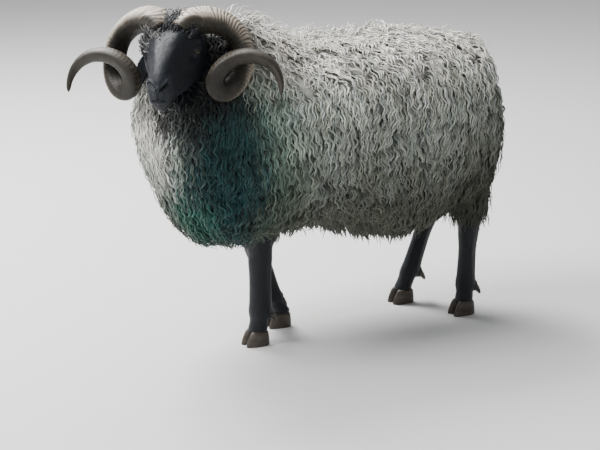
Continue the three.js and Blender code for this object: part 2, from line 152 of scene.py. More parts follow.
# The left eye in the head's frame; the right one mirrors it.
EYE_AT = np.array([3, 58, 13])
EYE_RADIUS = 17
EYE_LOOKS = np.array([0.42, 0.9, 0.02])
EYE_TILT = -14
LID_RADIUS = 18.7
LID_EDGE = 3  # how far past their radius the lids run out into the face
LID_SOFT = 2.2  # how gently the lids run into the face
OPENING_DEPTH = 7
IRIS_EDGE = (8.5, 10.5)  # where the iris starts to give way to its dark rim, and where it ends
PUPIL = (6.2, 2.1)  # half its length and half its height

EAR = {"root": (-56, 65, -14), "length": 122, "width": 52, "thick": 9}
EAR |= {"droop": 64, "back": 4, "twist": 40, "cup": 0.35}

# Each horn coils outward from the poll, and s counts quarter turns. The middle of the coil moves across,
# up and ahead with s, s times s, and a swing to and fro; HORN_CURL is the coil's radius and HORN_HALF the
# horn's own, both from root to tip.
HORN_FROM, HORN_TO = -0.75, 5.15
HORN_ACROSS = (92.5, 26.6, -1.02)
HORN_HEIGHT = (26, -40.8, 3.84)
HORN_AHEAD = (-64.6, 4.7, 2.77)
HORN_SWEEP, HORN_SWEEP_AT = 35.7, 0.64
HORN_CURL = (28, 35, 41.5, 44, 51, 59, 65.5, 70, 66)
HORN_HALF = (33, 31, 28.5, 28, 27, 24, 20.5, 15.5, 4.5)
HORN_BROAD = (1.28, 1.08)  # breadth against thickness, at the root and at the tip
HORN_CORNER = 0.09  # how far its section is from round
HORN_KEEL = (1.0, 0.17)  # the angle of its front edge, and the reach of that edge
HORN_ROOT = 24  # rings that run down into the skull

# The middle of each leg at the floor, fetlock, knee or hock, and inside the fleece.
LEGS = {
    "front_left": ((-320, -58, 0), (-312, -60, 92), (-314, -64, 272), (-300, -92, 400)),
    "front_right": ((-192, 58, 0), (-217, 60, 90), (-272, 66, 262), (-280, 90, 400)),
    "hind_left": ((304, -88, 0), (309, -89, 88), (314, -92, 262), (280, -112, 420)),
    "hind_right": ((217, 88, 0), (242, 89, 92), (308, 92, 262), (270, 112, 420)),
}
CORONET = 38  # height of the hoof's upper edge
# Half the depth and half the width of a leg from its top down to the hoof.
FRONT_SECTIONS = [(64, 50), (50, 43), (37, 34), (34, 30), (31, 28), (31, 29), (26, 26), (27, 27), (27, 26)]
HIND_SECTIONS = [(80, 54), (60, 43), (36, 31), (30, 27), (26, 25), (28, 26), (25, 25), (26, 26), (26, 26)]
LEG_SQUARE = 2.1
CLAW_WIDTH, CLAW_CLEFT, CLAW_TOE, CLAW_HEEL = 26, 4, 40, 27
DEWCLAW = {"below": 8, "back": 34, "apart": 13, "radius": 9, "length": 26}

FLESH_NODES = ["trunk", "neck", "tail", "head", "muzzle", "lower_jaw", "ear_left", "ear_right"]
FLESH_NODES += [f"leg_{leg}" for leg in LEGS]
HORN_PARTS = ["base", "middle", "curl", "tip"]
HORN_NODES = [f"horn_{word}_{part}" for word in SIDES for part in HORN_PARTS]
FACE_NODES = ["head", "muzzle", "lower_jaw", "ear_left", "ear_right"]

# Each coat piece's part of the bake map: left, bottom, width and height.
BODY_CHART = (0.02, 0.02, 0.6, 0.96)
HEAD_CHART = (0.64, 0.02, 0.34, 0.44)
EAR_CHART = (0.64, 0.5, 0.3, 0.1)
LEG_CHARTS = {leg: (0.64, 0.62 + 0.09 * i, 0.34, 0.07) for i, leg in enumerate(LEGS)}
TUFT_PATCH = 0.003

# The fleece's pieces from back to front, each with the same number of strands.
FLEECE_REGIONS = ["rump", "hip", "loin", "flank", "rib", "shoulder", "breast", "neck"]
# Kinds of wool: points along a strand, then what differs from the plain lock that grown_wool describes.
LOCKS = {"steps": 21}
# The underwool's lower shade is painted shade for wool that lies deeper.
UNDERWOOL = {"steps": 10, "width": 13, "lay": (10, 15), "spread": 0, "shade": 0.78}
WISPS = {"steps": 13, "width": 3.2, "crimp": 1.1, "lay": (-2, 3), "lift": 16}
MANE = {"steps": 13, "width": 3.0, "crimp": 0.9, "lay": (-8, 1), "lift": 16, "spread": 10}
COLLAR = {"steps": 10, "size": 0.45, "width": 4.6, "lay": (1, 9), "spread": 8}
TAIL_WOOL = {"steps": 18, "strands": 4, "size": 0.7}
THIGH_WOOL = {"length": 44, "width": 4.4, "lift": 0.3, "steps": 10, "curl": 2.6, "wave": 21, "droop": 0.35}

# Short hair: the way it lies (ahead, outward and up, in the head's frame), the reach over which it parts,
# its share of pale tufts, whether the left side has as many as the right, and the shape of a tuft.
FACE_HAIR = {"lie": (-1, 0.25, -0.25), "length": 7.5, "width": 1.15, "lift": 0.07, "steps": 4}
# Pale tufts of forehead and crest kept to the right: partly grey hair, partly a painted highlight.
FOREHEAD_HAIR = {"lie": (-1, 0.6, 0), "pale": 0.4, "length": 17, "width": 2.2, "lift": 0.25, "steps": 8}
FOREHEAD_HAIR |= {"curl": 2.2, "wave": 12}
CREST_HAIR = {"lie": (-1, 0.5, 0.6), "parting": 50, "pale": 0.5, "length": 32, "width": 2.6, "lift": 0.8}
CREST_HAIR |= {"steps": 9, "curl": 2.8, "wave": 14}
POLL_HAIR = {"lie": (-0.6, 0.35, 0), "parting": 30, "pale": 0.8, "both_sides": True, "length": 36}
POLL_HAIR |= {"width": 3.6, "lift": 0.85, "steps": 10, "curl": 3.2, "wave": 17, "droop": 0.15}
THROAT_HAIR = {"lie": (-1, 0.3, -0.4), "length": 42, "width": 4.6, "lift": 0.5, "steps": 9}
THROAT_HAIR |= {"curl": 2.2, "wave": 24, "droop": 0.5}
EAR_HAIR = {"length": 13, "width": 1.5, "lift": 0.14, "steps": 4}
LEG_HAIR = {"length": 9, "width": 1.3, "lift": 0.08, "steps": 4}

# Marks on the fleece: the share of the mark's colour, where it isn't all of it, then the mark's middle, its
# reach each way, the softness of its edge and its squareness.
STAIN = ((-262, -225, 480), (150, 190, 270), 0.6)
STAIN_TAKES = np.array([0.5, 0.33, 0.4])  # what the stain takes from each colour
# The breast, kept out of the soil and painted shade lower down so that it stays as pale as the back.
PALE_BREAST = ((-455, -25, 480), (75, 95, 175), 0.45)
# The dyed breast: real marking dye, made darker with painted shadow of the head.
DYED_AND_SHADOWED = (0.975, (-312, -218, 485), (110, 190, 240), 0.42, 2.9)
FRESH = (0.6, (-365, -90, 330), (70, 70, 95), 0.5)
# Black on the wool of the throat: partly black hair, partly painted shadow under the chin and head.
THROAT_BLACK_AND_SHADOW = [
    (0.97, (-345, -130, 682), (112, 75, 60)),
    (0.97, (-428, -92, 636), (54, 60, 62), 0.3),
    (0.9, (-262, -98, 722), (66, 62, 48)),
    (0.85, (-398, -145, 600), (46, 44, 60), 0.45),
]
# Black round the ears and painted shadow behind the horns, over the wool beside the poll.
POLL_BLACK_AND_SHADOW = (0.98, (-70, 110, 5), (100, 105, 90))  # beside the poll on each side, in the head's frame
# Painted shade: the fleece below its lit top loses some of each colour, as if in shade.
PAINTED_SHADE_TAKES = np.array([0.47, 0.41, 0.43])  # what the lower half of the fleece loses of each colour
SOIL_AND_SHADE_LOW, SOIL_AND_SHADE_BEHIND = 0.92, 0.75  # most that soil and painted shade cover near the ground and on the hind quarters
# Colour of the black hair and the painted shadow laid over the wool at the throat and beside the poll.
BLACK_AND_SHADOW_COLOUR = np.array([0.014, 0.015, 0.017])
HOOF_COLOUR = np.array([0.05, 0.04, 0.032])
EYE_RIM_COLOUR = np.array([0.022, 0.016, 0.012])
PUPIL_COLOUR = np.array([0.003, 0.004, 0.006])


# ---------------------------------------------------------------- curves and noise
def through(rows, t):
    """A smooth curve through evenly spaced rows of values, at each t from 0 to 1."""
    rows = np.asarray(rows, float)
    rows = rows.reshape(len(rows), -1)
    last = len(rows) - 1
    place = np.clip(t, 0, 1) * last
    i = np.minimum(place.astype(int), last - 1)
    w = (place - i)[..., None]
    padded = np.vstack([2 * rows[0] - rows[1], rows, 2 * rows[-1] - rows[-2]])
    before, start, end, after = (padded[i + k] for k in range(4))
    leave, arrive = (end - before) / 2, (after - start) / 2
    bend = 3 * (end - start) - 2 * leave - arrive
    cubic = 2 * (start - end) + leave + arrive
    return start + w * (leave + w * (bend + w * cubic))


def signed_power(value, power):
    """A power of the value's size that keeps its sign."""
    return np.sign(value) * np.abs(value) ** power


def powers(terms, s):
    """A second-degree curve in s."""
    return terms[0] + terms[1] * s + terms[2] * s * s


def unit(v):
    """Vectors of length 1."""
    return v / np.maximum(np.linalg.norm(v, axis=-1, keepdims=True), 1e-12)


def ease(value, low, high):
    """0 before low, 1 past high, and smooth between them; low may be the higher of the two."""
    x = np.clip((value - low) / (high - low), 0, 1)
    return x * x * (3 - 2 * x)


LATTICE = np.random.default_rng(11).uniform(-1, 1, 8192)


def noise(points, size, seed=0):
    """Smooth noise from -1 to 1 with lumps of about that size."""
    p = np.asarray(points, float) / size
    cell = np.floor(p).astype(np.int64)
    w = p - cell
    w = w * w * (3 - 2 * w)
    total = np.zeros(p.shape[:-1])
    for corner in range(8):
        step = np.array([corner & 1, corner >> 1 & 1, corner >> 2 & 1])
        key = (cell + step) @ np.array([73856093, 19349663, 83492791]) + seed * 2654435761
        share = np.where(step, w, 1 - w).prod(-1)
        total += share * LATTICE[(key ^ (key >> 13)) % len(LATTICE)]
    return total


def near_line(points, line):
    """Distance from each point to a polyline."""
    line = np.asarray(line, float)
    best = np.full(points.shape[:-1], 1e9)
    for a, b in zip(line[:-1], line[1:]):
        span = b - a
        w = np.clip((points - a) @ span / (span @ span), 0, 1)
        best = np.minimum(best, np.linalg.norm(points - a - w[..., None] * span, axis=-1))
    return best


# ---------------------------------------------------------------- head frame
def head_turn():
    """The head's own axes in the frame's, as columns."""
    yaw, pitch, roll = np.radians([HEAD_YAW, HEAD_PITCH, HEAD_ROLL])
    about_z = np.array([[math.cos(yaw), -math.sin(yaw), 0], [math.sin(yaw), math.cos(yaw), 0], [0, 0, 1]])
    level, dip = math.cos(pitch), math.sin(pitch)
    about_y = np.array([[level, 0, dip], [0, 1, 0], [-dip, 0, level]])
    level, lean = math.cos(roll), math.sin(roll)
    about_x = np.array([[1, 0, 0], [0, level, -lean], [0, lean, level]])
    return np.diag([-1, -1, 1]) @ about_z @ about_y @ about_x


HEAD_TURN = head_turn()


def from_head(points):
    """Head millimetres to frame millimetres."""
    return np.asarray(points, float) @ HEAD_TURN.T + HEAD_AT


def to_head(points):
    """Frame millimetres to head millimetres."""
    return (np.asarray(points, float) - HEAD_AT) @ HEAD_TURN


# ---------------------------------------------------------------- meshes
def mesh_of(name, points_mm, faces):
    """A mesh from millimetre points and equally long faces."""
    mesh = bpy.data.meshes.new(name)
    faces = np.asarray(faces, np.int32)
    count, corners = faces.shape
    mesh.vertices.add(len(points_mm))
    mesh.vertices.foreach_set("co", (np.asarray(points_mm, float) / 1000).astype(np.float32).ravel())
    mesh.loops.add(faces.size)
    mesh.loops.foreach_set("vertex_index", faces.ravel())
    mesh.polygons.add(count)
    mesh.polygons.foreach_set("loop_start", np.arange(0, faces.size, corners, dtype=np.int32))
    mesh.update(calc_edges=True)
    mesh.polygons.foreach_set("use_smooth", np.ones(count, bool))
    return mesh


def show(name, mesh, material, nodes):
    """Links a mesh as a piece of the ram that stands for some of the frame's nodes."""
    piece = bpy.data.objects.new(name, mesh)
    bpy.context.scene.collection.objects.link(piece)
    mesh.materials.clear()
    mesh.materials.append(material)
    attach(piece, "root")
    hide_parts(*nodes)


def tube_faces(rings, around):
    """Triangles of a tube of rings, its end rings closed by fans to two extra points."""
    r, i = np.meshgrid(np.arange(rings - 1), np.arange(around), indexing="ij")
    j = (i + 1) % around
    a, b = r * around + i, r * around + j
    c, d = a + around, b + around
    faces = [np.stack([a, b, d], -1).reshape(-1, 3), np.stack([a, d, c], -1).reshape(-1, 3)]
    i = np.arange(around)
    j = (i + 1) % around
    last = (rings - 1) * around
    first_tip = np.full(around, rings * around)
    faces.append(np.stack([first_tip, j, i], -1))
    faces.append(np.stack([first_tip + 1, last + i, last + j], -1))
    return np.vstack(faces)


def tube(name, grid):
    """A closed tube through a grid of points, one row for each ring."""
    rings, around = grid.shape[:2]
    ends = np.stack([grid[0].mean(0), grid[-1].mean(0)])
    points = np.vstack([grid.reshape(-1, 3), ends])
    faces = tube_faces(rings, around)
    a, b, c = (points[faces[:, k]] for k in range(3))
    if (np.cross(b - a, c - a) * (a - ends.mean(0))).sum() < 0:
        faces = faces[:, ::-1]
    return mesh_of(name, points, faces)


def read_points(mesh):
    """A mesh's points in millimetres."""
    points = np.empty(len(mesh.vertices) * 3, np.float32)
    mesh.vertices.foreach_get("co", points)
    return points.reshape(-1, 3) * 1000.0


def paint(mesh, colours):
    """Stores one colour for each vertex."""
    colours = np.clip(np.asarray(colours, np.float32), 0, 1)
    rgba = np.hstack([colours, np.ones((len(colours), 1), np.float32)])
    layer = mesh.color_attributes.new("coat_colour", "FLOAT_COLOR", "POINT")
    layer.data.foreach_set("color", rgba.ravel())


def paint_tube(mesh, colours):
    """Stores the colours of a tube's rings, and gives its two end points the first and the last."""
    flat = colours.reshape(-1, 3)
    paint(mesh, np.vstack([flat, flat[:1], flat[-1:]]))


def comb(mesh, coordinates):
    """Stores the lie of the hair: across, along and a third coordinate for each vertex."""
    layer = mesh.attributes.new("comb", "FLOAT_VECTOR", "POINT")
    layer.data.foreach_set("vector", np.asarray(coordinates, np.float32).ravel())


def bake_map(mesh, uv):
    """The OFBake map from one coordinate pair for each vertex."""
    corner = np.empty(len(mesh.loops), np.int32)
    mesh.loops.foreach_get("vertex_index", corner)
    layer = mesh.uv_layers.new(name="OFBake")
    layer.data.foreach_set("uv", np.asarray(uv, np.float32)[corner].ravel())


def charted(uv, chart):
    """Coordinates from 0 to 1, moved into a chart of the bake map."""
    return np.array(chart[:2]) + uv * np.array(chart[2:])


# ---------------------------------------------------------------- forms of the body
def fleece_at(u, v, share=1.0):
    """Points of the fleece: u from rump to nape, v round from the left side over the back."""
    row = through(FLEECE, u)
    centre = row[..., :3] + SHIFT
    wide, high, low, slim = (row[..., k] for k in (3, 4, 5, 6))
    lean, turn = np.radians(row[..., 7]), np.radians(row[..., 8])
    flat = np.zeros_like(turn)
    ahead = np.stack([-np.cos(turn), -np.sin(turn), flat], -1)
    side = np.stack([np.sin(turn), -np.cos(turn), flat], -1)
    up = -np.sin(lean)[..., None] * ahead + np.cos(lean)[..., None] * np.array([0, 0, 1])
    rise = signed_power(np.sin(2 * np.pi * v), 2 / FLEECE_SQUARE)
    across = wide * (1 - slim * (1 + rise) / 2) * signed_power(np.cos(2 * np.pi * v), 2 / FLEECE_SQUARE)
    height = rise * np.where(rise > 0, high, low)
    reach = side * across[..., None] + up * height[..., None]
    if share == "flesh":
        depth = np.minimum(1 - row[..., 9:10], WOOL_DEPTH / np.linalg.norm(reach, axis=-1, keepdims=True))
        return centre + reach * (1 - depth)
    return centre + reach * share


def tail_at(u, v, share=1.0):
    """Points of the tail's wool: u from root to tip, v round it."""
    row = through(TAIL, u)
    share = TAIL_FLESH if share == "flesh" else share
    turn = 2 * np.pi * v
    reach = np.stack([row[..., 3] * np.cos(turn), -row[..., 4] * np.sin(turn), 0 * u], -1)
    return row[..., :3] + SHIFT + reach * share


def skull_at(t, a):
    """The head's surface in its own frame: t from nape to nose, a round from the top over the left."""
    row = through(SKULL, t)
    x, top, flat, wide, wide_at, jaw, jaw_at, low = (row[:, k] for k in range(8))
    none = np.zeros_like(x)
    half = [(none, top), (flat, top - FLAT_DROP), (wide, wide_at), (jaw, jaw_at), (none, low)]
    around = half + [(-y, z) for y, z in half[-2:0:-1]]
    posts = np.stack([np.stack([x, y, z], -1) for y, z in around], 1)
    place = (a % 1) * 8
    i = np.floor(place).astype(int)
    w = (place - i)[None, :, None]
    p0, p1, p2, p3 = (posts[:, (i + k) % 8] for k in (-1, 0, 1, 2))
    spans = (p1 - p0, p2 - p1, p3 - p2)
    d0, d1, d2 = (np.sqrt(np.linalg.norm(span, axis=-1, keepdims=True)) + 1e-6 for span in spans)
    leave = ((p1 - p0) / d0 - (p2 - p0) / (d0 + d1) + (p2 - p1) / d1) * d1
    arrive = ((p2 - p1) / d1 - (p3 - p1) / (d1 + d2) + (p3 - p2) / d2) * d1
    bend = 3 * (p2 - p1) - 2 * leave - arrive
    cubic = 2 * (p1 - p2) + leave + arrive
    return p1 + w * (leave + w * (bend + w * cubic))


def evened(density, count):
    """Values from 0 to 1, closer together where the density is higher."""
    x = np.linspace(0, 1, 4001)
    total = np.cumsum(density(x))
    total = (total - total[0]) / (total[-1] - total[0])
    return np.interp(np.linspace(0, 1, count), total, x)


def eye_axes(side):
    """Directions of an eye: along its opening towards the nose, up, and outward."""
    out = unit(EYE_LOOKS * (1, side, 1))
    along = unit(np.array([1, 0, 0]) - out * out[0])
    up = np.cross(out, along) * side
    tilt = math.radians(EYE_TILT)
    level, rise = math.cos(tilt), math.sin(tilt)
    return along * level + up * rise, up * level - along * rise, out


def lid_line(along, settings):
    """Heights of the upper and lower lid along the opening, from its back corner to its front one."""
    x = np.clip(along / (settings.opening_width * 500), -1, 1)
    arch = np.sqrt(np.maximum(0, 1 - x * x))
    return settings.upper_lid * 1000 * arch**0.9, -settings.lower_lid * 1000 * arch**1.1


def nose_cap(last):
    """Rings that round off the blunt end of the nose, from the head's last ring."""
    rings = []
    for s in np.sin(np.linspace(0, np.pi / 2, 7)[1:]):
        close = math.sqrt(1.001 - s * s)
        z = (last[:, 2] - NOSE_MIDDLE) * close + NOSE_MIDDLE
        rings.append(np.stack([last[:, 0] + NOSE_BULGE * s, last[:, 1] * close, z], -1))
    return np.stack(rings)


def mirrored(points):
    """Head points moved to the left side."""
    side = np.where(points[..., 1] < 0, -1, 1)
    return points * np.stack([np.ones(side.shape), side, np.ones(side.shape)], -1)


def with_lids(p, side, settings):
    """The head with one eye's lids over the ball and the hollow of its opening."""
    along, up, ahead = eye_axes(side)
    local = (p - EYE_AT * (1, side, 1)) @ np.stack([along, up, ahead], -1)
    flat = np.hypot(local[..., 0], local[..., 1])
    ball = np.sqrt(np.maximum(0, LID_RADIUS**2 - flat**2))
    near = (flat < LID_RADIUS + LID_EDGE) & (local[..., 2] > -4)
    lidded = LID_SOFT * np.logaddexp(local[..., 2] / LID_SOFT, ball / LID_SOFT)
    upper, lower = lid_line(local[..., 0], settings)
    inside = np.minimum(upper - local[..., 1], local[..., 1] - lower)
    inside = np.where(np.abs(local[..., 0]) > settings.opening_width * 500, -1, inside)
    lidded = lidded - OPENING_DEPTH * ease(inside, -0.4, 0.9)
    shape = ease(LID_RADIUS + LID_EDGE - flat, 0, 4) * near
    return p + (shape * (lidded - local[..., 2]))[..., None] * ahead


def head_form(settings):
    """The head's skin in its own frame, with folds, lids, nostrils and lips."""
    at_eyes = lambda x: 1 + 1.6 * np.exp(-(((x - 0.42) / 0.07) ** 2)) + 1.3 * (x > 0.78)
    at_sides = lambda x: 1 + 1.1 * np.exp(-(((np.abs(x - 0.5) - 0.29) / 0.06) ** 2))
    p = skull_at(evened(at_eyes, 168), evened(at_sides, 221)[:-1])
    p = np.concatenate([p, nose_cap(p[-1])])
    out = p - np.stack([p[..., 0], 0 * p[..., 1], np.full(p.shape[:-1], FACE_AXIS)], -1)
    out[..., 0] = np.maximum(22 * ease(p[..., 0], 150, 172), 12 * (p[..., 0] - 172))
    out = unit(out)
    here = mirrored(p)
    push = np.full(p.shape[:-1], -settings.face_hair * 1000)
    for at, size, amount in RELIEF.values():
        push += amount * np.exp(-(((here - at) / size) ** 2).sum(-1))
    p = p + out * push[..., None]
    here = mirrored(p)
    for line, width, depth in CREASES.values():
        away = near_line(here, line)
        groove = depth * np.exp(-((away / width) ** 2))
        lips = 0.28 * depth * np.exp(-(((away - 2.2 * width) / width) ** 2))
        p = p - out * (groove - lips)[..., None]
    for side in SIDES.values():
        p = with_lids(p, side, settings)
    return p


def lid_rims(settings):
    """A rounded edge round each eye's opening, in the head's frame."""
    rims = []
    place = np.linspace(0, 2 * np.pi, 72, endpoint=False)
    upper_half = place < np.pi
    turn = np.linspace(0, 2 * np.pi, 10, endpoint=False)
    for side in SIDES.values():
        x = settings.opening_width * 500 * np.cos(place)
        upper, lower = lid_line(x, settings)
        y = np.where(upper_half, upper, lower)
        z = np.sqrt((LID_RADIUS - 0.6) ** 2 - x * x - y * y)
        path = np.stack([x, y, z], -1)
        thick = np.where(upper_half, 1.9, 1.35) * (0.75 + 0.25 * np.abs(np.sin(place)))
        onward = unit(np.roll(path, -1, 0) - np.roll(path, 1, 0))
        away = unit(path)
        across = np.cross(onward, away)
        reach = np.cos(turn)[None, :, None] * across[:, None] + np.sin(turn)[None, :, None] * away[:, None]
        ring = path[:, None] + thick[:, None, None] * reach
        rims.append(ring @ np.stack(eye_axes(side)) + EYE_AT * (1, side, 1))
    return rims


def ring_mesh(name, grid):
    """A closed loop of a tube."""
    rings, around = grid.shape[:2]
    r, i = np.meshgrid(np.arange(rings), np.arange(around), indexing="ij")
    a, b = r * around + i, r * around + (i + 1) % around
    c, d = (r + 1) % rings * around + i, (r + 1) % rings * around + (i + 1) % around
    faces = np.vstack([np.stack([a, b, d], -1).reshape(-1, 3), np.stack([a, d, c], -1).reshape(-1, 3)])
    points = grid.reshape(-1, 3)
    p, q, s = (points[faces[:, k]] for k in range(3))
    if (p * np.cross(q, s)).sum() < 0:
        faces = faces[:, ::-1]
    return mesh_of(name, points, faces)


def ear_form(side, rings=54, around=44):
    """A hanging, cupped ear in the head's frame."""
    droop, back, twist = np.radians([EAR["droop"], EAR["back"], EAR["twist"]])
    level_out, fall = math.cos(back) * math.cos(droop), math.cos(back) * math.sin(droop)
    ahead = np.array([-math.sin(back), level_out, -fall])
    level = unit(np.array([1, 0, 0]) - ahead * ahead[0])
    across = level * math.cos(twist) + np.cross(ahead, level) * math.sin(twist)
    up = np.cross(ahead, across)
    t = 0.5 - 0.5 * np.cos(np.pi * np.linspace(0, 1, rings))
    share = (-0.12 + 1.1 * t)[:, None]
    leaf = np.maximum(0.06, np.sin(np.pi * np.minimum(1, 0.2 + 0.8 * np.minimum(share, 1)) ** 1.15))
    leaf = leaf * np.sqrt(np.clip((1.03 - t[:, None]) / 0.1, 0, 1))
    thick = (EAR["thick"] / 2 + (1 - share) * 5) * (0.4 + 0.6 * leaf)
    turn = 2 * np.pi * np.linspace(0, 1, around, endpoint=False)[None]
    w = EAR["width"] / 2 * leaf * np.cos(turn)
    hollow = np.where(np.sin(turn) > 0, 2.2 * (1 - (w / (EAR["width"] / 2)) ** 2), 0)
    hollow = hollow * ease(share, 0.1, 0.3) * ease(1 - share, 0.02, 0.3)
    rise = (thick * 0.72 - hollow * 0.6) * np.sin(turn) - EAR["cup"] * w * w / EAR["width"]
    p = np.array(EAR["root"]) + ahead * (EAR["length"] * share)[..., None]
    p = p + across * w[..., None] + up * rise[..., None]
    p[..., 1] *= side
    return p


def leg_line(leg):
    """Middles and half sizes of a leg from its top to the hoof."""
    hoof, fetlock, knee, top = (np.array(p, float) + SHIFT for p in LEGS[leg])
    shin = (knee + fetlock) / 2
    coronet = hoof + (2, 0, CORONET + 8)
    middles = [top, top + 0.55 * (knee - top), knee, knee + 0.5 * (shin - knee), shin, fetlock]
    middles += [fetlock + 0.55 * (coronet - fetlock), coronet, coronet + (-1, 0, -8)]
    return np.hstack([middles, FRONT_SECTIONS if "front" in leg else HIND_SECTIONS])


def leg_form(leg, hair):
    """The skin of a bare leg: joints, tendons and pastern."""
    t = np.linspace(0, 1, 118)
    turn = 2 * np.pi * np.linspace(0, 1, 44, endpoint=False)
    row = through(leg_line(leg), t)
    deep, wide = row[:, None, 3] - hair, row[:, None, 4] - hair
    x = deep * signed_power(np.cos(turn), 2 / LEG_SQUARE)
    y = wide * signed_power(np.sin(turn), 2 / LEG_SQUARE)
    reach = np.stack([x, y, 0 * deep * turn], -1)
    p = row[:, None, :3] + reach
    height = p[..., 2]
    knee, fetlock = LEGS[leg][2][2], LEGS[leg][1][2]
    front, back, flank = np.cos(turn) * -1 > 0.3, np.cos(turn) > 0.3, np.abs(np.sin(turn))
    at = lambda z, reach: np.exp(-(((height - z) / reach) ** 2))
    push = 2.0 * at(fetlock, 16) + 1.2 * at(fetlock - 8, 10) * back
    tendon_groove = np.exp(-(((np.cos(turn) - 0.45) / 0.22) ** 2))
    push = push - 2.2 * at((knee + fetlock) / 2, 62) * tendon_groove
    if "front" in leg:
        push = push + 2.4 * at(knee, 20) * front
        push = push + 2.5 * at(knee + 14, 13) * (np.cos(turn) > 0.75)
        push = push - 1.5 * at(knee - 30, 12) * front
    else:
        push = push + 5 * at(knee + 34, 16) * (np.cos(turn) > 0.6)
        push = push - 3 * at(knee + 52, 22) * flank
        push = push - 1.5 * at(knee + 4, 18) * front
    return p + unit(reach) * push[..., None]


def pad_form(leg):
    """The rounded pad behind the fetlock that carries the dewclaws."""
    fetlock = np.array(LEGS[leg][1], float) + SHIFT
    polar = np.linspace(0.04, np.pi - 0.04, 24)[:, None]
    turn = np.linspace(0, 2 * np.pi, 32, endpoint=False)[None]
    across = np.sin(polar)
    ball = np.stack([across * np.cos(turn), across * np.sin(turn), np.cos(polar) + 0 * turn], -1)
    return fetlock + (19, 0, -8) + ball * (17, 21, 19)


def claw_form(leg, side):
    """One claw of a cloven hoof with its growth rings."""
    hoof = np.array(LEGS[leg][0], float) + SHIFT
    z = np.array([0, 0, 1.2, *range(3, 37, 3), 38, 40])
    inset = np.array([3.0, 1.4, 0.5, 0.1] + [0] * 10 + [0.4, 1.6, 4])
    bends = [0, 13, CORONET]
    toe = np.interp(z, bends, [CLAW_TOE, CLAW_TOE - 3, CLAW_TOE - 15]) - inset
    heel = np.interp(z, bends, [CLAW_HEEL, CLAW_HEEL, CLAW_HEEL - 3]) - inset
    half = CLAW_WIDTH / 2 * np.interp(z, bends, [1, 1, 0.94]) - inset
    turn = 2 * np.pi * np.linspace(0, 1, 56, endpoint=False)
    ahead = np.cos(turn)[None]
    x = np.where(ahead > 0, -toe[:, None] * np.abs(ahead) ** 0.9, -heel[:, None] * ahead)
    rings = 0.35 * np.sin(z * 1.9)[:, None] * (z > 4)[:, None]
    y = (half[:, None] + rings) * np.sin(turn)
    centre = hoof[1] + side * (CLAW_CLEFT / 2 + CLAW_WIDTH / 2)
    return np.stack([hoof[0] + x * (1 + rings / 40), centre + y, np.broadcast_to(z[:, None], x.shape)], -1)


def dewclaw_form(leg, side):
    """The small hanging claw behind the fetlock."""
    fetlock = np.array(LEGS[leg][1], float) + SHIFT
    root = fetlock + (DEWCLAW["back"] - 10, side * DEWCLAW["apart"], -DEWCLAW["below"])
    tip = root + (16, 0, -DEWCLAW["length"])
    t = np.sin(np.linspace(0, np.pi / 2, 14))
    turn = 2 * np.pi * np.linspace(0, 1, 24, endpoint=False)
    radius = (DEWCLAW["radius"] * np.sqrt(1.003 - t**2) * (1 + 0.03 * np.sin(t * 30)))[:, None]
    ring = np.stack([radius * np.cos(turn), radius * np.sin(turn), 0 * radius * turn], -1)
    return root + t[:, None, None] * (tip - root) + ring


def horn_middle(s):
    """Middle of the left horn at s quarter turns, in the head's frame."""
    angle = np.pi / 2 * (1 - s)
    curl = through(HORN_CURL, (s - HORN_FROM) / (HORN_TO - HORN_FROM))[..., 0]
    swing = HORN_SWEEP * np.cos(np.pi / 2 * (s - HORN_SWEEP_AT))
    across = powers(HORN_ACROSS, s) + curl * np.cos(angle)
    height = powers(HORN_HEIGHT, s) + curl * np.sin(angle)
    return np.stack([powers(HORN_AHEAD, s) - swing, across, height], -1)


def horn_keel(angle):
    """1 on the edge between the outer and the front face of a horn, 0 away from it."""
    at, reach = HORN_KEEL
    return np.exp(-(((angle - at) / reach) ** 2))


def horn_path(rings):
    """Middles of the horn's rings from inside the skull to the tip, and how far along each lies."""
    t = np.linspace(0, 1, rings)
    middle = horn_middle(HORN_FROM + (HORN_TO - HORN_FROM) * t)
    root, onward = middle[0], unit(middle[1] - middle[0])
    buried = root - 34 * onward + (0, 0, -16)
    w = np.linspace(0, 1, HORN_ROOT + 1)[:-1, None]
    start = buried * (1 - w) ** 2 + 2 * w * (1 - w) * (root - 17 * onward) + root * w * w
    return np.vstack([start, middle]), np.concatenate([np.zeros(HORN_ROOT), t])


def round_horn(place, across, angle):
    """Points to take noise at, so that it runs round the horn without a seam."""
    return np.stack([place, across * np.cos(angle), across * np.sin(angle)], -1)


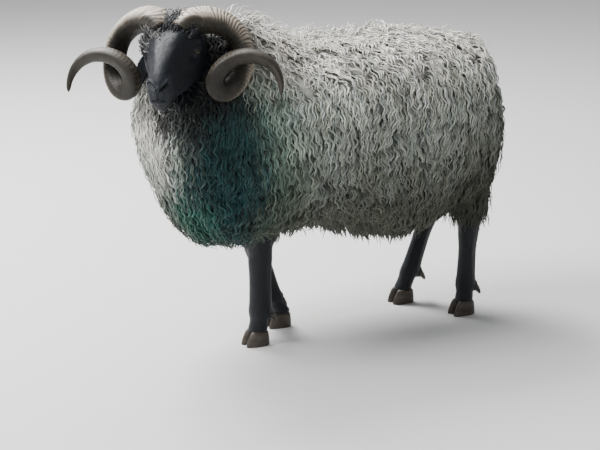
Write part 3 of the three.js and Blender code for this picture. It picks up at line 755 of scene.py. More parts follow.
def horn_form(side, settings, rings=740, around=48):
    """A ridged horn in the head's frame, with how high each point stands on its ridges."""
    middle, t = horn_path(rings)
    ahead = unit(np.gradient(middle, axis=0))
    broad = unit(np.array([1, 0, 0]) - ahead * ahead[:, :1])
    out = np.cross(broad, ahead)
    breadth = HORN_BROAD[0] + (HORN_BROAD[1] - HORN_BROAD[0]) * t
    angle = 2 * np.pi * np.linspace(0, 1, around, endpoint=False)
    half = through(HORN_HALF, t)[:, 0]
    reach = half[:, None] * (1 - HORN_CORNER * np.cos(3 * angle))
    travelled = np.concatenate([[0], np.cumsum(np.linalg.norm(np.diff(middle, axis=0), axis=1))])
    slant = 5.0 * np.cos(angle - 0.6) + 2.5 * np.sin(2 * angle)
    place = travelled[:, None] + slant[None]
    wander = noise(round_horn(place, 9 + 0 * place, angle), 17, 3)
    wrinkle = place / (settings.ridge_spacing * 1000) + 0.5 * wander
    fine = place / (settings.ridge_spacing * 310) + 0.8 * wander
    ridge = 2 * np.abs(np.sin(np.pi * wrinkle)) ** 0.55 - 1
    ridged = ease(0.6 - t, 0, 0.24)[:, None]
    face = ease(np.cos(angle + 0.1), 0.1, 0.7)[None]
    lift = settings.ridge_height * 1000 * (0.75 * ridge + 0.3 * np.sin(2 * np.pi * fine))
    lift = lift * (0.12 + 0.88 * ridged) * (0.35 + 0.65 * face)
    lift = lift + 1.9 * horn_keel(angle)[None] * (0.3 + 0.7 * ridged)
    lift = lift + 0.55 * noise(round_horn(place / 14, half[:, None] / 2, angle), 1.6, 8) * (1 - face)
    lift = lift + 0.9 * noise(round_horn(place / 3, reach, angle), 13, 5)
    reach = reach + lift - 0.9
    closing = np.sqrt(np.clip((1 - t) / 0.012, 0, 1))[:, None]
    reach = reach * np.maximum(closing, 0.02)
    p = middle[:, None] + broad[:, None] * (reach * breadth[:, None] * np.sin(angle))[..., None]
    p = p + out[:, None] * (reach * np.cos(angle))[..., None]
    p[..., 1] *= side
    return p, ridge, wander, t, angle


# ---------------------------------------------------------------- colours of the coat
def patch(points, at, size, soft=0.35, square=2):
    """1 inside an ellipsoid, or a squarer one, and 0 outside it, with a soft and uneven edge."""
    away = (np.abs((points - at) / size) ** square).sum(-1) ** (1 / square)
    away = away + 0.16 * noise(points, 60, 7) + 0.1 * noise(points, 24, 8)
    return ease(1 + soft - away, 0, 2 * soft)


def blended(colour, mark, share):
    """A colour with a share of another over it."""
    return colour * (1 - share) + mark * share


def fleece_colour(points, settings):
    """Fleece colour by place: clean back, soil and painted shade below, dye and painted shadow in front."""
    white, soil_and_shade = np.array(settings.wool_colour), np.array(settings.soil_and_shade_colour)
    # The breast is raised out of the soil and painted shade below, so it stays pale.
    z = points[:, 2] + 22 * noise(points, 90, 1) + 230 * patch(points, *PALE_BREAST)
    low = ease(z, 600, 330)[:, None]
    # Painted shade: the wool below the top is darker, as if in shade.
    white = white * (1 - PAINTED_SHADE_TAKES * ease(z, 785, 590)[:, None])
    hind = ease(points[:, 0] + 20 * noise(points, 80, 9), 240, 450)[:, None] * ease(z, 700, 420)[:, None]
    colour = white * (1 + 0.08 * noise(points, 45, 13)[:, None])
    # Soil and painted shade: the wool near the ground and on the hind quarters is darker.
    colour = blended(colour, soil_and_shade, SOIL_AND_SHADE_LOW * low)
    colour = blended(colour, soil_and_shade, SOIL_AND_SHADE_BEHIND * hind)
    colour = colour * (1 - STAIN_TAKES * patch(points, *STAIN)[:, None])
    # The dye is real; its darkness is partly painted shadow of the head.
    for (share, *place), mark in ((DYED_AND_SHADOWED, settings.dye_and_shadow_colour), (FRESH, settings.dye_edge_colour)):
        colour = blended(colour, np.array(mark), share * patch(points, *place)[:, None])
    # Black hair and painted shadow under the chin and head.
    dark = [share * patch(points, *place) for share, *place in THROAT_BLACK_AND_SHADOW]
    # Beside the poll: black hair round the ears and painted shadow behind the horns.
    share, at, size = POLL_BLACK_AND_SHADOW
    dark += [share * patch(points, from_head(at * np.array((1, side, 1))), size) for side in SIDES.values()]
    return blended(colour, BLACK_AND_SHADOW_COLOUR, np.max(dark, axis=0)[:, None])


# ---------------------------------------------------------------- strands
def strand_faces(steps, points):
    """Triangles of one three-sided strand, facing outward for points like these."""
    faces = [[0, 2, 1]]
    for k in range(steps - 2):
        for i in range(3):
            a, b = 3 * k + i, 3 * k + (i + 1) % 3
            faces += [[a, b, b + 3], [a, b + 3, a + 3]]
    last = 3 * (steps - 2)
    faces += [[last + i, last + (i + 1) % 3, len(points) - 1] for i in range(3)]
    faces = np.array(faces)
    a, b, c = (points[faces[:, k]] for k in range(3))
    inward = (a * np.cross(b, c)).sum() < (points.mean(0) * np.cross(b - a, c - a)).sum()
    return faces[:, ::-1] if inward else faces


def strand_mesh(name, path, side, radius, roots, colours, flat):
    """Closed three-sided strands: paths of points, each strand tapering to its tip."""
    count, steps = path.shape[:2]
    onward = unit(np.gradient(path, axis=1))
    side = unit(side - onward * (side * onward).sum(-1, keepdims=True))
    lift = np.cross(onward, side)
    angles = np.radians([90, 210, 330])
    corners = []
    for a in angles:
        reach = math.cos(a) * side[:, :-1] + flat * math.sin(a) * lift[:, :-1]
        corners.append(path[:, :-1] + radius[:, :-1, None] * reach)
    body = np.stack(corners, 2).reshape(count, -1, 3)
    points = np.concatenate([body, path[:, -1:]], 1)
    size = points.shape[1]
    faces = strand_faces(steps, points[0])
    faces = (faces[None] + (np.arange(count) * size)[:, None, None]).reshape(-1, 3)
    mesh = mesh_of(name, points.reshape(-1, 3), faces)
    combed_strands(mesh, path, radius, angles)
    t = np.concatenate([np.repeat(np.linspace(0, 1, steps)[:-1], 3), [1]])
    around = np.concatenate([np.tile([0, 0.5, 1], steps - 1), [0.5]])
    uv = roots[:, None] + TUFT_PATCH * (np.stack([around, t], -1)[None] - 0.5)
    bake_map(mesh, uv.reshape(-1, 2))
    step = np.concatenate([np.repeat(np.arange(steps - 1), 3), [steps - 1]])
    paint(mesh, colours[:, step].reshape(-1, 3))
    return mesh


def combed_strands(mesh, path, radius, angles):
    """Stores the lie of the hair on strands, so that fine relief runs along each one."""
    count, steps = path.shape[:2]
    length = np.linalg.norm(path[:, -1] - path[:, 0], axis=-1)[:, None, None]
    turn = np.stack([np.cos(angles), np.sin(angles), 0 * angles], -1)
    along = np.linspace(0, 1, steps)[None, :-1, None, None] * 0.1 * length[..., None] * (0, 0, 1)
    grain = (radius[:, :-1, None, None] * turn + along).reshape(count, -1, 3)
    tips = 0.1 * length * (0, 0, 1)
    apart = 37.0 * (np.arange(count) % 23)[:, None, None]
    comb(mesh, (np.concatenate([grain, tips], 1) + apart).reshape(-1, 3) / 1000)


def sown(form, count, rng, span=(0, 1)):
    """Places on a form, evenly by its area: u and v of each."""
    rows, around = 220, 200
    u = np.linspace(*span, rows + 1)
    v = np.linspace(0, 1, around + 1)
    p = form(*np.meshgrid(u, v, indexing="ij"))
    area = np.linalg.norm(np.cross(p[1:, :-1] - p[:-1, :-1], p[:-1, 1:] - p[:-1, :-1]), axis=-1)
    total = np.cumsum(area.ravel())
    pick = np.searchsorted(total, (np.arange(count) + rng.uniform(0, 1, count)) / count * total[-1])
    i, j = np.divmod(np.minimum(pick, area.size - 1), around)
    return u[i] + rng.uniform(0, 1, count) * (u[1] - u[0]), v[j] + rng.uniform(0, 1, count) * (v[1] - v[0])


def surface(form, u, v):
    """Point, normal and the two tangents of a form."""
    step = 1e-3
    p = form(u, v)
    after, before = np.minimum(u + step, 1), np.maximum(u - step, 0)
    du = (form(after, v) - form(before, v)) / (after - before)[..., None]
    dv = (form(u, v + step) - form(u, v - step)) / (2 * step)
    normal = unit(np.cross(du, dv))
    outward = p - form(u, v, 0.0)
    normal = normal * np.sign((normal * outward).sum(-1, keepdims=True) + 1e-9)
    return p, normal, du, dv


def hanging(form, u, v, length, steps, sway):
    """Walks each place down its form as wool hangs, and returns the points and normals on the way."""
    points, normals = [], []
    for _ in range(steps):
        p, n, du, dv = surface(form, u, v)
        points.append(p)
        normals.append(n)
        top = ease(n[:, 2], 0.3, 0.95)[:, None]
        nape = ease(-p[:, 0], 190, 290)
        parting = np.stack([0.5 * (1 - nape), 0.85 * np.tanh(p[:, 1] / 60), 0 * u], -1)
        pull = np.array([0.12, 0, -1]) * (1 - 0.8 * top) + 1.1 * top * parting
        pull = pull + sway
        pull = pull - n * (pull * n).sum(-1, keepdims=True)
        strength = np.minimum(1, np.linalg.norm(pull, axis=-1, keepdims=True) / 0.5)
        pull = unit(pull) * strength * (length / (steps - 1))[:, None]
        aa, ab, bb = (du * du).sum(-1), (du * dv).sum(-1), (dv * dv).sum(-1)
        pa, pb = (pull * du).sum(-1), (pull * dv).sum(-1)
        det = np.maximum(aa * bb - ab * ab, 1e-6)
        u = np.clip(u + (pa * bb - pb * ab) / det, 0, 1)
        v = v + (pb * aa - pa * ab) / det
    return np.stack(points, 1), np.stack(normals, 1)


# ---------------------------------------------------------------- materials
def coloured(name, roughness, specular, sheen=0.0, sheen_tint=(1, 1, 1)):
    """A surface that takes its colour from the mesh."""
    material = bpy.data.materials.new(name)
    material.use_nodes = True
    nodes, links = material.node_tree.nodes, material.node_tree.links
    shader = nodes["Principled BSDF"]
    colour = nodes.new("ShaderNodeVertexColor")
    colour.layer_name = "coat_colour"
    links.new(colour.outputs["Color"], shader.inputs["Base Color"])
    shader.inputs["Roughness"].default_value = roughness
    shader.inputs["Sheen Weight"].default_value = sheen
    shader.inputs["Sheen Roughness"].default_value = 0.5
    shader.inputs["Sheen Tint"].default_value = (*sheen_tint, 1)
    shader.inputs["Specular IOR Level"].default_value = specular
    return material


def combed_bump(material, scale, strength, distance):
    """Adds fine relief that runs along the lie of the hair, and returns the noise that it comes from."""
    nodes, links = material.node_tree.nodes, material.node_tree.links
    lie = nodes.new("ShaderNodeAttribute")
    lie.attribute_name = "comb"
    grain = nodes.new("ShaderNodeTexNoise")
    grain.inputs["Scale"].default_value = scale
    grain.inputs["Detail"].default_value = 4
    links.new(lie.outputs["Vector"], grain.inputs["Vector"])
    bump = nodes.new("ShaderNodeBump")
    bump.inputs["Strength"].default_value = strength
    bump.inputs["Distance"].default_value = distance
    whorls = nodes.new("ShaderNodeTexNoise")
    whorls.inputs["Scale"].default_value = scale / 8
    links.new(lie.outputs["Vector"], whorls.inputs["Vector"])
    height = nodes.new("ShaderNodeMath")
    height.operation = "MULTIPLY_ADD"
    links.new(whorls.outputs["Fac"], height.inputs[0])
    height.inputs[1].default_value = 2.5
    links.new(grain.outputs["Fac"], height.inputs[2])
    links.new(height.outputs["Value"], bump.inputs["Height"])
    links.new(bump.outputs["Normal"], nodes["Principled BSDF"].inputs["Normal"])
    return grain


def streaked(material, grain, depth):
    """Makes a surface's colour darker and lighter along the noise of its relief."""
    nodes, links = material.node_tree.nodes, material.node_tree.links
    shade = nodes.new("ShaderNodeMapRange")
    shade.inputs["From Min"].default_value = 0.3
    shade.inputs["From Max"].default_value = 0.7
    shade.inputs["To Min"].default_value = 1 - depth
    shade.inputs["To Max"].default_value = 1 + 0.5 * depth
    links.new(grain.outputs["Fac"], shade.inputs["Value"])
    scaled = nodes.new("ShaderNodeVectorMath")
    scaled.operation = "SCALE"
    base = nodes["Principled BSDF"].inputs["Base Color"]
    links.new(base.links[0].from_socket, scaled.inputs[0])
    links.new(shade.outputs["Result"], scaled.inputs["Scale"])
    links.new(scaled.outputs["Vector"], base)


def hair_material():
    """Short black hair, made once."""
    if "short hair" in bpy.data.materials:
        return bpy.data.materials["short hair"]
    material = coloured("short hair", 0.5, 0.24, 0.02, (0.8, 0.85, 1))
    combed_bump(material, 900, 0.5, 0.001)
    return material


def wool_material():
    """Crimped wool with streaks along its strands, made once."""
    if "crimped wool" in bpy.data.materials:
        return bpy.data.materials["crimped wool"]
    material = coloured("crimped wool", 0.85, 0.2, 0.1, (1, 0.97, 0.9))
    streaked(material, combed_bump(material, 850, 0.7, 0.0012), 0.35)
    return material


# ---------------------------------------------------------------- settings
def metres(**given):
    """A setting that is a length."""
    return FloatProperty(unit="LENGTH", **given)


def swatch(**given):
    """A setting that is a colour."""
    return FloatVectorProperty(subtype="COLOR", **given)


class FleeceSettings(bpy.types.PropertyGroup):
    """Sizes and colours of the wool"""

    staples: IntProperty(name="Staples", description="Locks on the trunk and neck", default=1955, min=100)
    strands: IntProperty(name="Strands", description="Strands in each lock", default=4, min=1, max=9)
    strand_width: metres(name="Strand width", description="Width of a strand at its middle", default=0.0066)
    hang: metres(name="Hang", description="Length of wool that shows", default=0.118)
    crimp_length: metres(name="Crimp length", description="Length of one wave", default=0.034)
    crimp_height: metres(name="Crimp height", description="How far a wave swings", default=0.0036)
    wool_colour: swatch(name="Wool", description="Clean wool", default=(0.87, 0.84, 0.775))
    # Soil and painted shade together: the dark colour of the wool low down and behind.
    soil_and_shade_colour: swatch(name="Soil", description="Wool near the ground", default=(0.068, 0.073, 0.052))
    # Marking dye darkened with painted shadow of the head.
    dye_and_shadow_colour: swatch(name="Dye", description="Marking dye on the breast", default=(0.007, 0.045, 0.05))
    dye_edge_colour: swatch(name="Fresh dye", description="Bright dye low down", default=(0.02, 0.13, 0.09))


class HeadSettings(bpy.types.PropertyGroup):
    """Sizes and colours of the head and the short hair"""

    face_hair: metres(name="Face hair", description="Depth of the short hair", default=0.002)
    opening_width: metres(name="Eye opening", description="Width of the eye's opening", default=0.033)
    upper_lid: metres(name="Upper lid", description="Opening above its middle", default=0.0085)
    lower_lid: metres(name="Lower lid", description="Opening below its middle", default=0.006)
    hair_colour: swatch(name="Hair", description="Face, ears and legs", default=(0.0065, 0.008, 0.0108))
    grey_colour: swatch(name="Grey hair", description="Poll and forehead", default=(0.34, 0.33, 0.31))
    # The iris: its own amber darkened as painted shade.
    shaded_iris_colour: swatch(name="Iris", description="Colour of the eye", default=(0.022, 0.0195, 0.0145))


class HornSettings(bpy.types.PropertyGroup):
    """Ridges and colours of the horns"""

    ridge_spacing: metres(name="Ridge spacing", description="From one ridge to the next", default=0.0085)
    ridge_height: metres(name="Ridge height", description="Height of a ridge", default=0.0013)
    pale_colour: swatch(name="Pale horn", description="Worn ridges", default=(0.4, 0.34, 0.27))
    dark_colour: swatch(name="Dark horn", description="Grooves and front", default=(0.022, 0.0195, 0.0155))
    tip_colour: swatch(name="Tip", description="Smooth tip", default=(0.034, 0.029, 0.023))


class StageSettings(bpy.types.PropertyGroup):
    """Floor and lights"""

    floor_colour: swatch(name="Floor", description="Floor and backdrop", default=(0.6, 0.6, 0.59))
    sky_strength: FloatProperty(name="Sky", description="Strength of the light from above", default=0.9)
    key_power: FloatProperty(name="Key light", description="Main light's power", default=380, unit="POWER")


# ---------------------------------------------------------------- skin
def united(name, meshes):
    """One closed surface from overlapping closed ones."""
    base = bpy.data.objects.new(name, meshes[0])
    bpy.context.scene.collection.objects.link(base)
    others = []
    for i, mesh in enumerate(meshes[1:]):
        other = bpy.data.objects.new(f"{name}_{i}", mesh)
        bpy.context.scene.collection.objects.link(other)
        others.append(other)
        joint = base.modifiers.new(other.name, "BOOLEAN")
        joint.operation = "UNION"
        joint.solver = "MANIFOLD"
        joint.object = other
    graph = bpy.context.evaluated_depsgraph_get()
    result = bpy.data.meshes.new_from_object(base.evaluated_get(graph))
    for spare in [base, *others]:
        bpy.data.objects.remove(spare)
    return result


def woolly_share(points):
    """1 where the fleece grows, 0 on the bare head and legs."""
    local = to_head(points)
    bare = (local[:, 0] > -150) & (local[:, 0] < 200) & (np.abs(local[:, 1]) < 180) & (local[:, 2] > -150)
    for leg in LEGS:
        line = through(leg_line(leg), np.linspace(0, 1, 9))
        bare |= (near_line(points, line[:, :3]) < 62) & (points[:, 2] < 400)
    return (~bare).astype(float)[:, None]


def grid_of(form, rings, around):
    """A form's skin as rings of points."""
    u, v = np.linspace(0, 1, rings), np.linspace(0, 1, around, endpoint=False)
    return form(*np.meshgrid(u, v, indexing="ij"), "flesh")


def skin_colour(points, hair_colour, fleece):
    """Black on the bare head and legs; painted shade in nostrils and mouth and on the wool under the fleece.
    """
    woolly = woolly_share(points)
    local = to_head(points)
    left = mirrored(local)
    black = np.array(hair_colour)[None] * (1 + 0.25 * noise(points, 9, 2)[:, None])
    muzzle = ease(local[:, 0], 136, 160)[:, None] * (1 - woolly)
    black = black * (1 + 0.4 * muzzle * (1 + 0.3 * noise(points, 5, 8)[:, None]))
    # Painted shade: near black inside the nostrils and along the mouth's crease.
    nostril = ease(near_line(left, NOSTRIL_FLOOR), 6.5, 4.0)
    mouth = ease(near_line(left, CREASES["mouth"][0]), 4.0, 1.0)
    black = black * (1 - 0.9 * np.maximum(nostril, mouth)[:, None] * (1 - woolly))
    # Under the fleece the skin takes the wool's colour darkened as painted shade.
    return black * (1 - woolly) + fleece_colour(points, fleece) * 0.6 * woolly


class RAM_OT_skin(bpy.types.Operator):
    """Build one skin for the trunk, neck, head, ears, legs and tail"""

    bl_idname = "ram.skin"
    bl_label = "Skin"

    def execute(self, context):
        settings = context.scene.ram_head
        parts = [tube("trunk_skin", grid_of(fleece_at, 110, 96))]
        parts.append(tube("tail_skin", grid_of(tail_at, 40, 24)))
        parts.append(tube("head_skin", from_head(head_form(settings))))
        parts += [ring_mesh("lid", from_head(rim)) for rim in lid_rims(settings)]
        parts += [tube("ear_skin", from_head(ear_form(side))) for side in SIDES.values()]
        for leg in LEGS:
            parts.append(tube("leg_skin", leg_form(leg, settings.face_hair * 1000)))
            parts.append(tube("pad_skin", pad_form(leg)))
        mesh = united("skin", parts)
        mesh.polygons.foreach_set("use_smooth", np.ones(len(mesh.polygons), bool))
        points = read_points(mesh)
        local = to_head(points)
        paint(mesh, skin_colour(points, settings.hair_colour, context.scene.ram_fleece))
        on_head = np.linalg.norm(local, axis=1) < 260
        lie = np.where(on_head[:, None], local * (0.14, 1, 1), points * (1, 1, 0.14))
        comb(mesh, lie / 1000)
        show("skin", mesh, hair_material(), FLESH_NODES)
        return {"FINISHED"}


# ---------------------------------------------------------------- wool
def on_nape(points):
    """Where the mane grows: the crest of the neck behind the horns."""
    return (points[:, 0] < 60) & (points[:, 2] > 745) & (np.abs(points[:, 1]) < 75)


def at_throat(points):
    """Where the collar grows: round the throat and the cheeks."""
    x, y, z = to_head(points).T
    return (x > -150) & (np.abs(y) < 150) & (z < 60) & (z > -190)


def chosen(test, u, v):
    """The places on the fleece that pass a test."""
    passed = test(fleece_at(u, v))
    return u[passed], v[passed]


def nodes_tree(names):
    """A search tree over some of the frame's nodes."""
    points, faces, start = [], [], 0
    for name in names:
        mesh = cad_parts[name].data
        mesh.calc_loop_triangles()
        own = read_points(mesh)
        corners = np.empty(len(mesh.loop_triangles) * 3, np.int32)
        mesh.loop_triangles.foreach_get("vertices", corners)
        points.append(own)
        faces.append(corners.reshape(-1, 3) + start)
        start += len(own)
    return BVHTree.FromPolygons(np.vstack(points).tolist(), np.vstack(faces).tolist())


def free_length(path, tree):
    """How far along each strand runs before it meets the head, from 0 to 1."""
    steps = path.shape[1]
    free = np.ones(len(path))
    for i in np.flatnonzero(path[:, 0, 0] < -150):
        for k in range(7, steps):
            p = Vector(path[i, k])
            near, normal, _, distance = tree.find_nearest(p)
            if distance < 3 or (p - near).dot(normal) < 0:
                free[i] = k / steps
                break
    return free


def resampled(values, share):
    """Rows of values along strands, read again at shares of the strand from 0 to 1."""
    steps = values.shape[1]
    index = share * (steps - 1)
    i = np.minimum(index.astype(int), steps - 2)
    w = (index - i)[..., None]
    row = np.arange(len(values))[:, None]
    return values[row, i] * (1 - w) + values[row, i + 1] * w


def tuck_under(path, normal, horns):
    """Sinks the wool that would run into a horn, in place."""
    near_horn = np.flatnonzero(path[:, :, 0].min(1) < -60)
    for i in near_horn:
        sink = np.zeros(path.shape[1])
        for k in range(3, path.shape[1]):
            p = Vector(path[i, k])
            at, out, _, distance = horns.find_nearest(p, 26)
            if at is not None:
                inside = (p - at).dot(out) < 0
                sink[k] = np.clip(5 + (distance if inside else -distance), 0, 30)
        if sink.any():
            eased = np.convolve(np.pad(sink, 2, "edge"), [0.15, 0.22, 0.26, 0.22, 0.15], "valid")
            path[i] -= normal[i] * np.maximum(sink, eased)[:, None]


LOCK_STEPS = 16  # points on a lock's way down the fleece
SLOW_WAVE = 3.1  # waves of the crimp in one slow bend


def drawn_locks(form, u, v, settings, rng, size):
    """What the strands of a lock share: its way down the fleece, its waves, its depth and its shade."""
    count = len(u)
    flesh = form(u, v, "flesh")
    outer, normal, _, _ = surface(form, u, v)
    under = ease(-normal[:, 2], 0.35, 0.9)
    top = ease(normal[:, 2], 0.4, 0.95)
    loose = rng.normal(0, 1, (count, 3)) * (0.1 + 0.3 * top)[:, None]
    sway = 0.3 * np.stack([noise(outer, 110, 21), noise(outer, 110, 22), 0 * u], -1) + loose
    length = settings.hang * 1000 * size * rng.uniform(0.7, 1.25, count)
    length = length * (1 - 0.72 * under) * (1 - 0.3 * top)
    paths, normals = hanging(form, u, v, length, LOCK_STEPS, sway)
    side = unit(np.cross(unit(np.gradient(paths, axis=1)), normals))
    wave = settings.crimp_length * 1000 * (1 + 0.07 * rng.normal(0, 1, count))
    fallen = (outer[:, 0] * top - outer[:, 2] * (1 - top)) / (settings.crimp_length * 1000)
    phase = 2 * np.pi * (fallen + 0.8 * noise(outer, 85, 31)) + rng.normal(0, 0.4, count)
    bend = 2 * np.pi * (fallen / SLOW_WAVE + 0.7 * noise(outer, 130, 33)) + rng.normal(0, 0.6, count)
    lay = 7 * np.clip(0.5 + noise(outer, 42, 41) + rng.normal(0, 0.3, count), 0, 1.6)
    return SimpleNamespace(
        count=count,
        outer=outer,
        under=under,
        top=top,
        paths=paths,
        normals=normals,
        side=side,
        wave=wave,
        phase=phase,
        bend=bend,
        depth=np.linalg.norm(outer - flesh, axis=1),
        proud=NAPE[2] * patch(outer, *NAPE[:2]),
        rising=0.2 + 0.8 * under,
        closing=0.45 + 0.4 * ease(outer[:, 2], 440, 340),
        lay=lay * (1 + 0.5 * ease(outer[:, 2], 640, 440)),
        shade=1 + 0.11 * rng.normal(0, 1, count),
        uv=charted(np.stack([u, v % 1], -1), BODY_CHART),
    )


def drawn_strand(locks, t, across, deeper, settings, rng, width, crimp, lay, lift):
    """One strand of every lock: it rises from the skin, turns, waves and hangs."""
    count = locks.count
    sink = deeper + rng.uniform(*lay, count)
    tt = t[None] * rng.uniform(0.72, 1.0, count)[:, None]
    p = resampled(locks.paths, tt)
    n, s = unit(resampled(locks.normals, tt)), unit(resampled(locks.side, tt))
    sunk = locks.depth[:, None] * (1 - ease(tt / locks.rising[:, None], 0, 1.0)) + sink[:, None]
    sunk = sunk - (lift * (0.5 + locks.top) * rng.uniform(0, 1, count))[:, None] * tt**2
    sunk = sunk - locks.proud[:, None] * ease(tt, 0, 0.4)
    moved = np.linalg.norm(np.diff(p, axis=1), axis=-1)
    travelled = np.concatenate([np.zeros((count, 1)), np.cumsum(moved, axis=1)], 1)
    turn = 2 * np.pi * travelled / locks.wave[:, None] + locks.phase[:, None]
    turn = turn + rng.normal(0, 0.3, count)[:, None]
    slow = 2 * np.pi * travelled / (SLOW_WAVE * locks.wave[:, None]) + locks.bend[:, None]
    height = settings.crimp_height * 1000 * crimp * rng.uniform(0.6, 1.35, count)[:, None]
    height = height * ease(tt, 0.05, 0.3)
    close = 1 - locks.closing[:, None] * ease(tt, 0.35, 1.0)
    p = p + s * (across[:, None] * close + height * (np.sin(turn) + 1.1 * np.sin(slow)))[..., None]
    p = p + n * (-sunk + 0.55 * height * np.cos(turn))[..., None]
    p[..., 2] -= (FRINGE * locks.under * rng.uniform(0, 1, count))[:, None] * tt**2
    thick = (width or settings.strand_width * 1000) / 2 * rng.uniform(0.7, 1.25, count)[:, None]
    radius = thick * (0.75 + 0.25 * np.sin(np.pi * t[None])) * (1 - 0.7 * t[None] ** 3)
    shade = np.stack([locks.shade * (1 + 0.06 * rng.normal(0, 1, count)), rng.uniform(-1, 1, count)], -1)
    strand = {"path": p, "side": s, "normal": n, "radius": radius}
    return strand | {"outer": locks.outer, "uv": locks.uv, "shade": shade}


def grown_wool(
    form,
    u,
    v,
    settings,
    rng,
    *,
    steps,  # points along a strand
    strands=1,  # in a lock
    size=1.0,  # length against the fleece's
    width=None,  # of a strand, where it differs from the fleece's
    crimp=1.0,  # height of the waves against the fleece's
    lay=(1.5, 7.5),  # least and most that a strand lies below the surface
    spread=36,  # width of a lock
    lift=0,  # how far a strand may stand out
    # below 1, painted shade for wool that lies deeper
    shade=1.0,  # brightness
):
    """Locks of wool at places on a form."""
    locks = drawn_locks(form, u, v, settings, rng, size)
    t = np.concatenate([[0, 0.11, 0.2], np.linspace(0.28, 1, steps - 3)])
    drawn = []
    for k in range(strands):
        across = (k + rng.uniform(0, 1, locks.count) - strands / 2) / strands * spread * size
        deeper = locks.lay * (strands > 1)
        drawn.append(drawn_strand(locks, t, across, deeper, settings, rng, width, crimp, lay, lift))
    wool = {key: np.concatenate([strand[key] for strand in drawn]) for key in drawn[0]}
    tuck_under(wool["path"], wool["normal"], nodes_tree(HORN_NODES))
    wool = trimmed(wool, free_length(wool["path"], nodes_tree(FACE_NODES)))
    shown = wool["path"][:, int(steps * 0.55)] + rng.normal(0, 13, (len(wool["path"]), 3))
    warm = wool["shade"][:, 1]
    tint = np.stack([1 + 0.03 * warm, np.ones(len(warm)), 1 - 0.06 * warm], -1)
    base = fleece_colour(shown, settings) * shade * wool["shade"][:, :1] * tint
    # Darker towards the root: painted shade deep in the fleece, with some real darkening of the wool near
    # the skin.
    wool["colour"] = base[:, None] * (0.45 + 0.55 * ease(t, 0.1, 0.5))[None, :, None]
    return wool


def trimmed(wool, free):
    """Cuts strands where they meet the head, and drops those with too little left."""
    kept = free > 0.42
    wool = {key: values[kept] for key, values in wool.items()}
    free = free[kept]
    share = np.linspace(0, 1, wool["path"].shape[1])[None] * free[:, None]
    cut = free < 1
    for key in ("path", "side", "normal"):
        wool[key][cut] = resampled(wool[key], share)[cut]
    return wool


def put_wool(name, wool, nodes, own=slice(None)):
    """Shows some of the strands as one piece."""
    parts = [wool[key][own] for key in ("path", "side", "radius", "uv", "colour")]
    show(name, strand_mesh(name, *parts, flat=0.8), wool_material(), nodes)


# ---------------------------------------------------------------- tufts
def facing(grid):
    """Normals of a tube's grid of points, away from its middle."""
    normal = unit(np.cross(np.gradient(grid, axis=0), np.roll(grid, -1, 1) - np.roll(grid, 1, 1)))
    outward = grid - grid.mean(1, keepdims=True)
    return normal * np.sign((normal * outward).sum(-1, keepdims=True) + 1e-9)


def rooted(grid, weight, count, rng):
    """Random roots on a tube's grid, more of them where the weight is high."""
    onward = np.roll(grid, -1, 1)
    area = np.linalg.norm(np.cross(grid[1:] - grid[:-1], (onward - grid)[:-1]), axis=-1)
    total = np.cumsum((area * weight[:-1]).ravel())
    share = (np.arange(count) + rng.uniform(0, 1, count)) / count
    pick = np.searchsorted(total, share * total[-1] * 0.999999)
    i, j = pick // grid.shape[1], pick % grid.shape[1]
    k = (j + 1) % grid.shape[1]
    a, b = rng.uniform(0, 1, (2, count, 1))
    edge = lambda g, column: g[i, column] * (1 - a) + g[i + 1, column] * a
    blend = lambda g: edge(g, j) * (1 - b) + edge(g, k) * b
    uv = np.stack([(i + a[:, 0]) / grid.shape[0], (j + b[:, 0]) / grid.shape[1]], -1)
    return blend(grid), unit(blend(facing(grid))), uv


def tufts(
    name,
    roots,
    normals,
    flow,
    rng,
    *,
    length,
    width,
    lift,  # rise of a tuft against its length
    steps,  # points along a tuft
    colour,
    uv,
    droop=0.0,  # fall of the tip against the length
    curl=0.0,  # radius of the curls
    wave=12.0,  # length of one curl
):
    """Short tapering tufts that lie along their flow."""
    count = len(roots)
    s = np.linspace(0, 1, steps)[None, :, None]
    flow = unit(flow - normals * (flow * normals).sum(-1, keepdims=True))
    flow = unit(flow + rng.normal(0, 0.12, (count, 3)))
    across = unit(np.cross(flow, normals))
    size = (length * rng.uniform(0.7, 1.25, count))[:, None, None]
    rise = (lift * rng.uniform(0.6, 1.4, count))[:, None, None]
    path = (roots - normals * 1.2)[:, None] + flow[:, None] * size * s
    path = path + normals[:, None] * (rise * size * s * (1 - 0.5 * s) + 1.2 * s)
    path = path + np.array([0, 0, -1]) * droop * size * s * s
    turn = 2 * np.pi * size * s / wave + rng.uniform(0, 6.3, count)[:, None, None]
    swing = across[:, None] * np.sin(turn) + normals[:, None] * 0.7 * np.cos(turn)
    path = path + curl * np.minimum(1, 3 * s) * swing
    radius = width / 2 * rng.uniform(0.75, 1.25, count)[:, None] * (1 - 0.6 * s[..., 0] ** 2)
    side = np.repeat(across[:, None], steps, 1)
    shade = colour[:, None] * (0.75 + 0.35 * s)
    return strand_mesh(name, path, side, radius, uv, shade, flat=0.5)


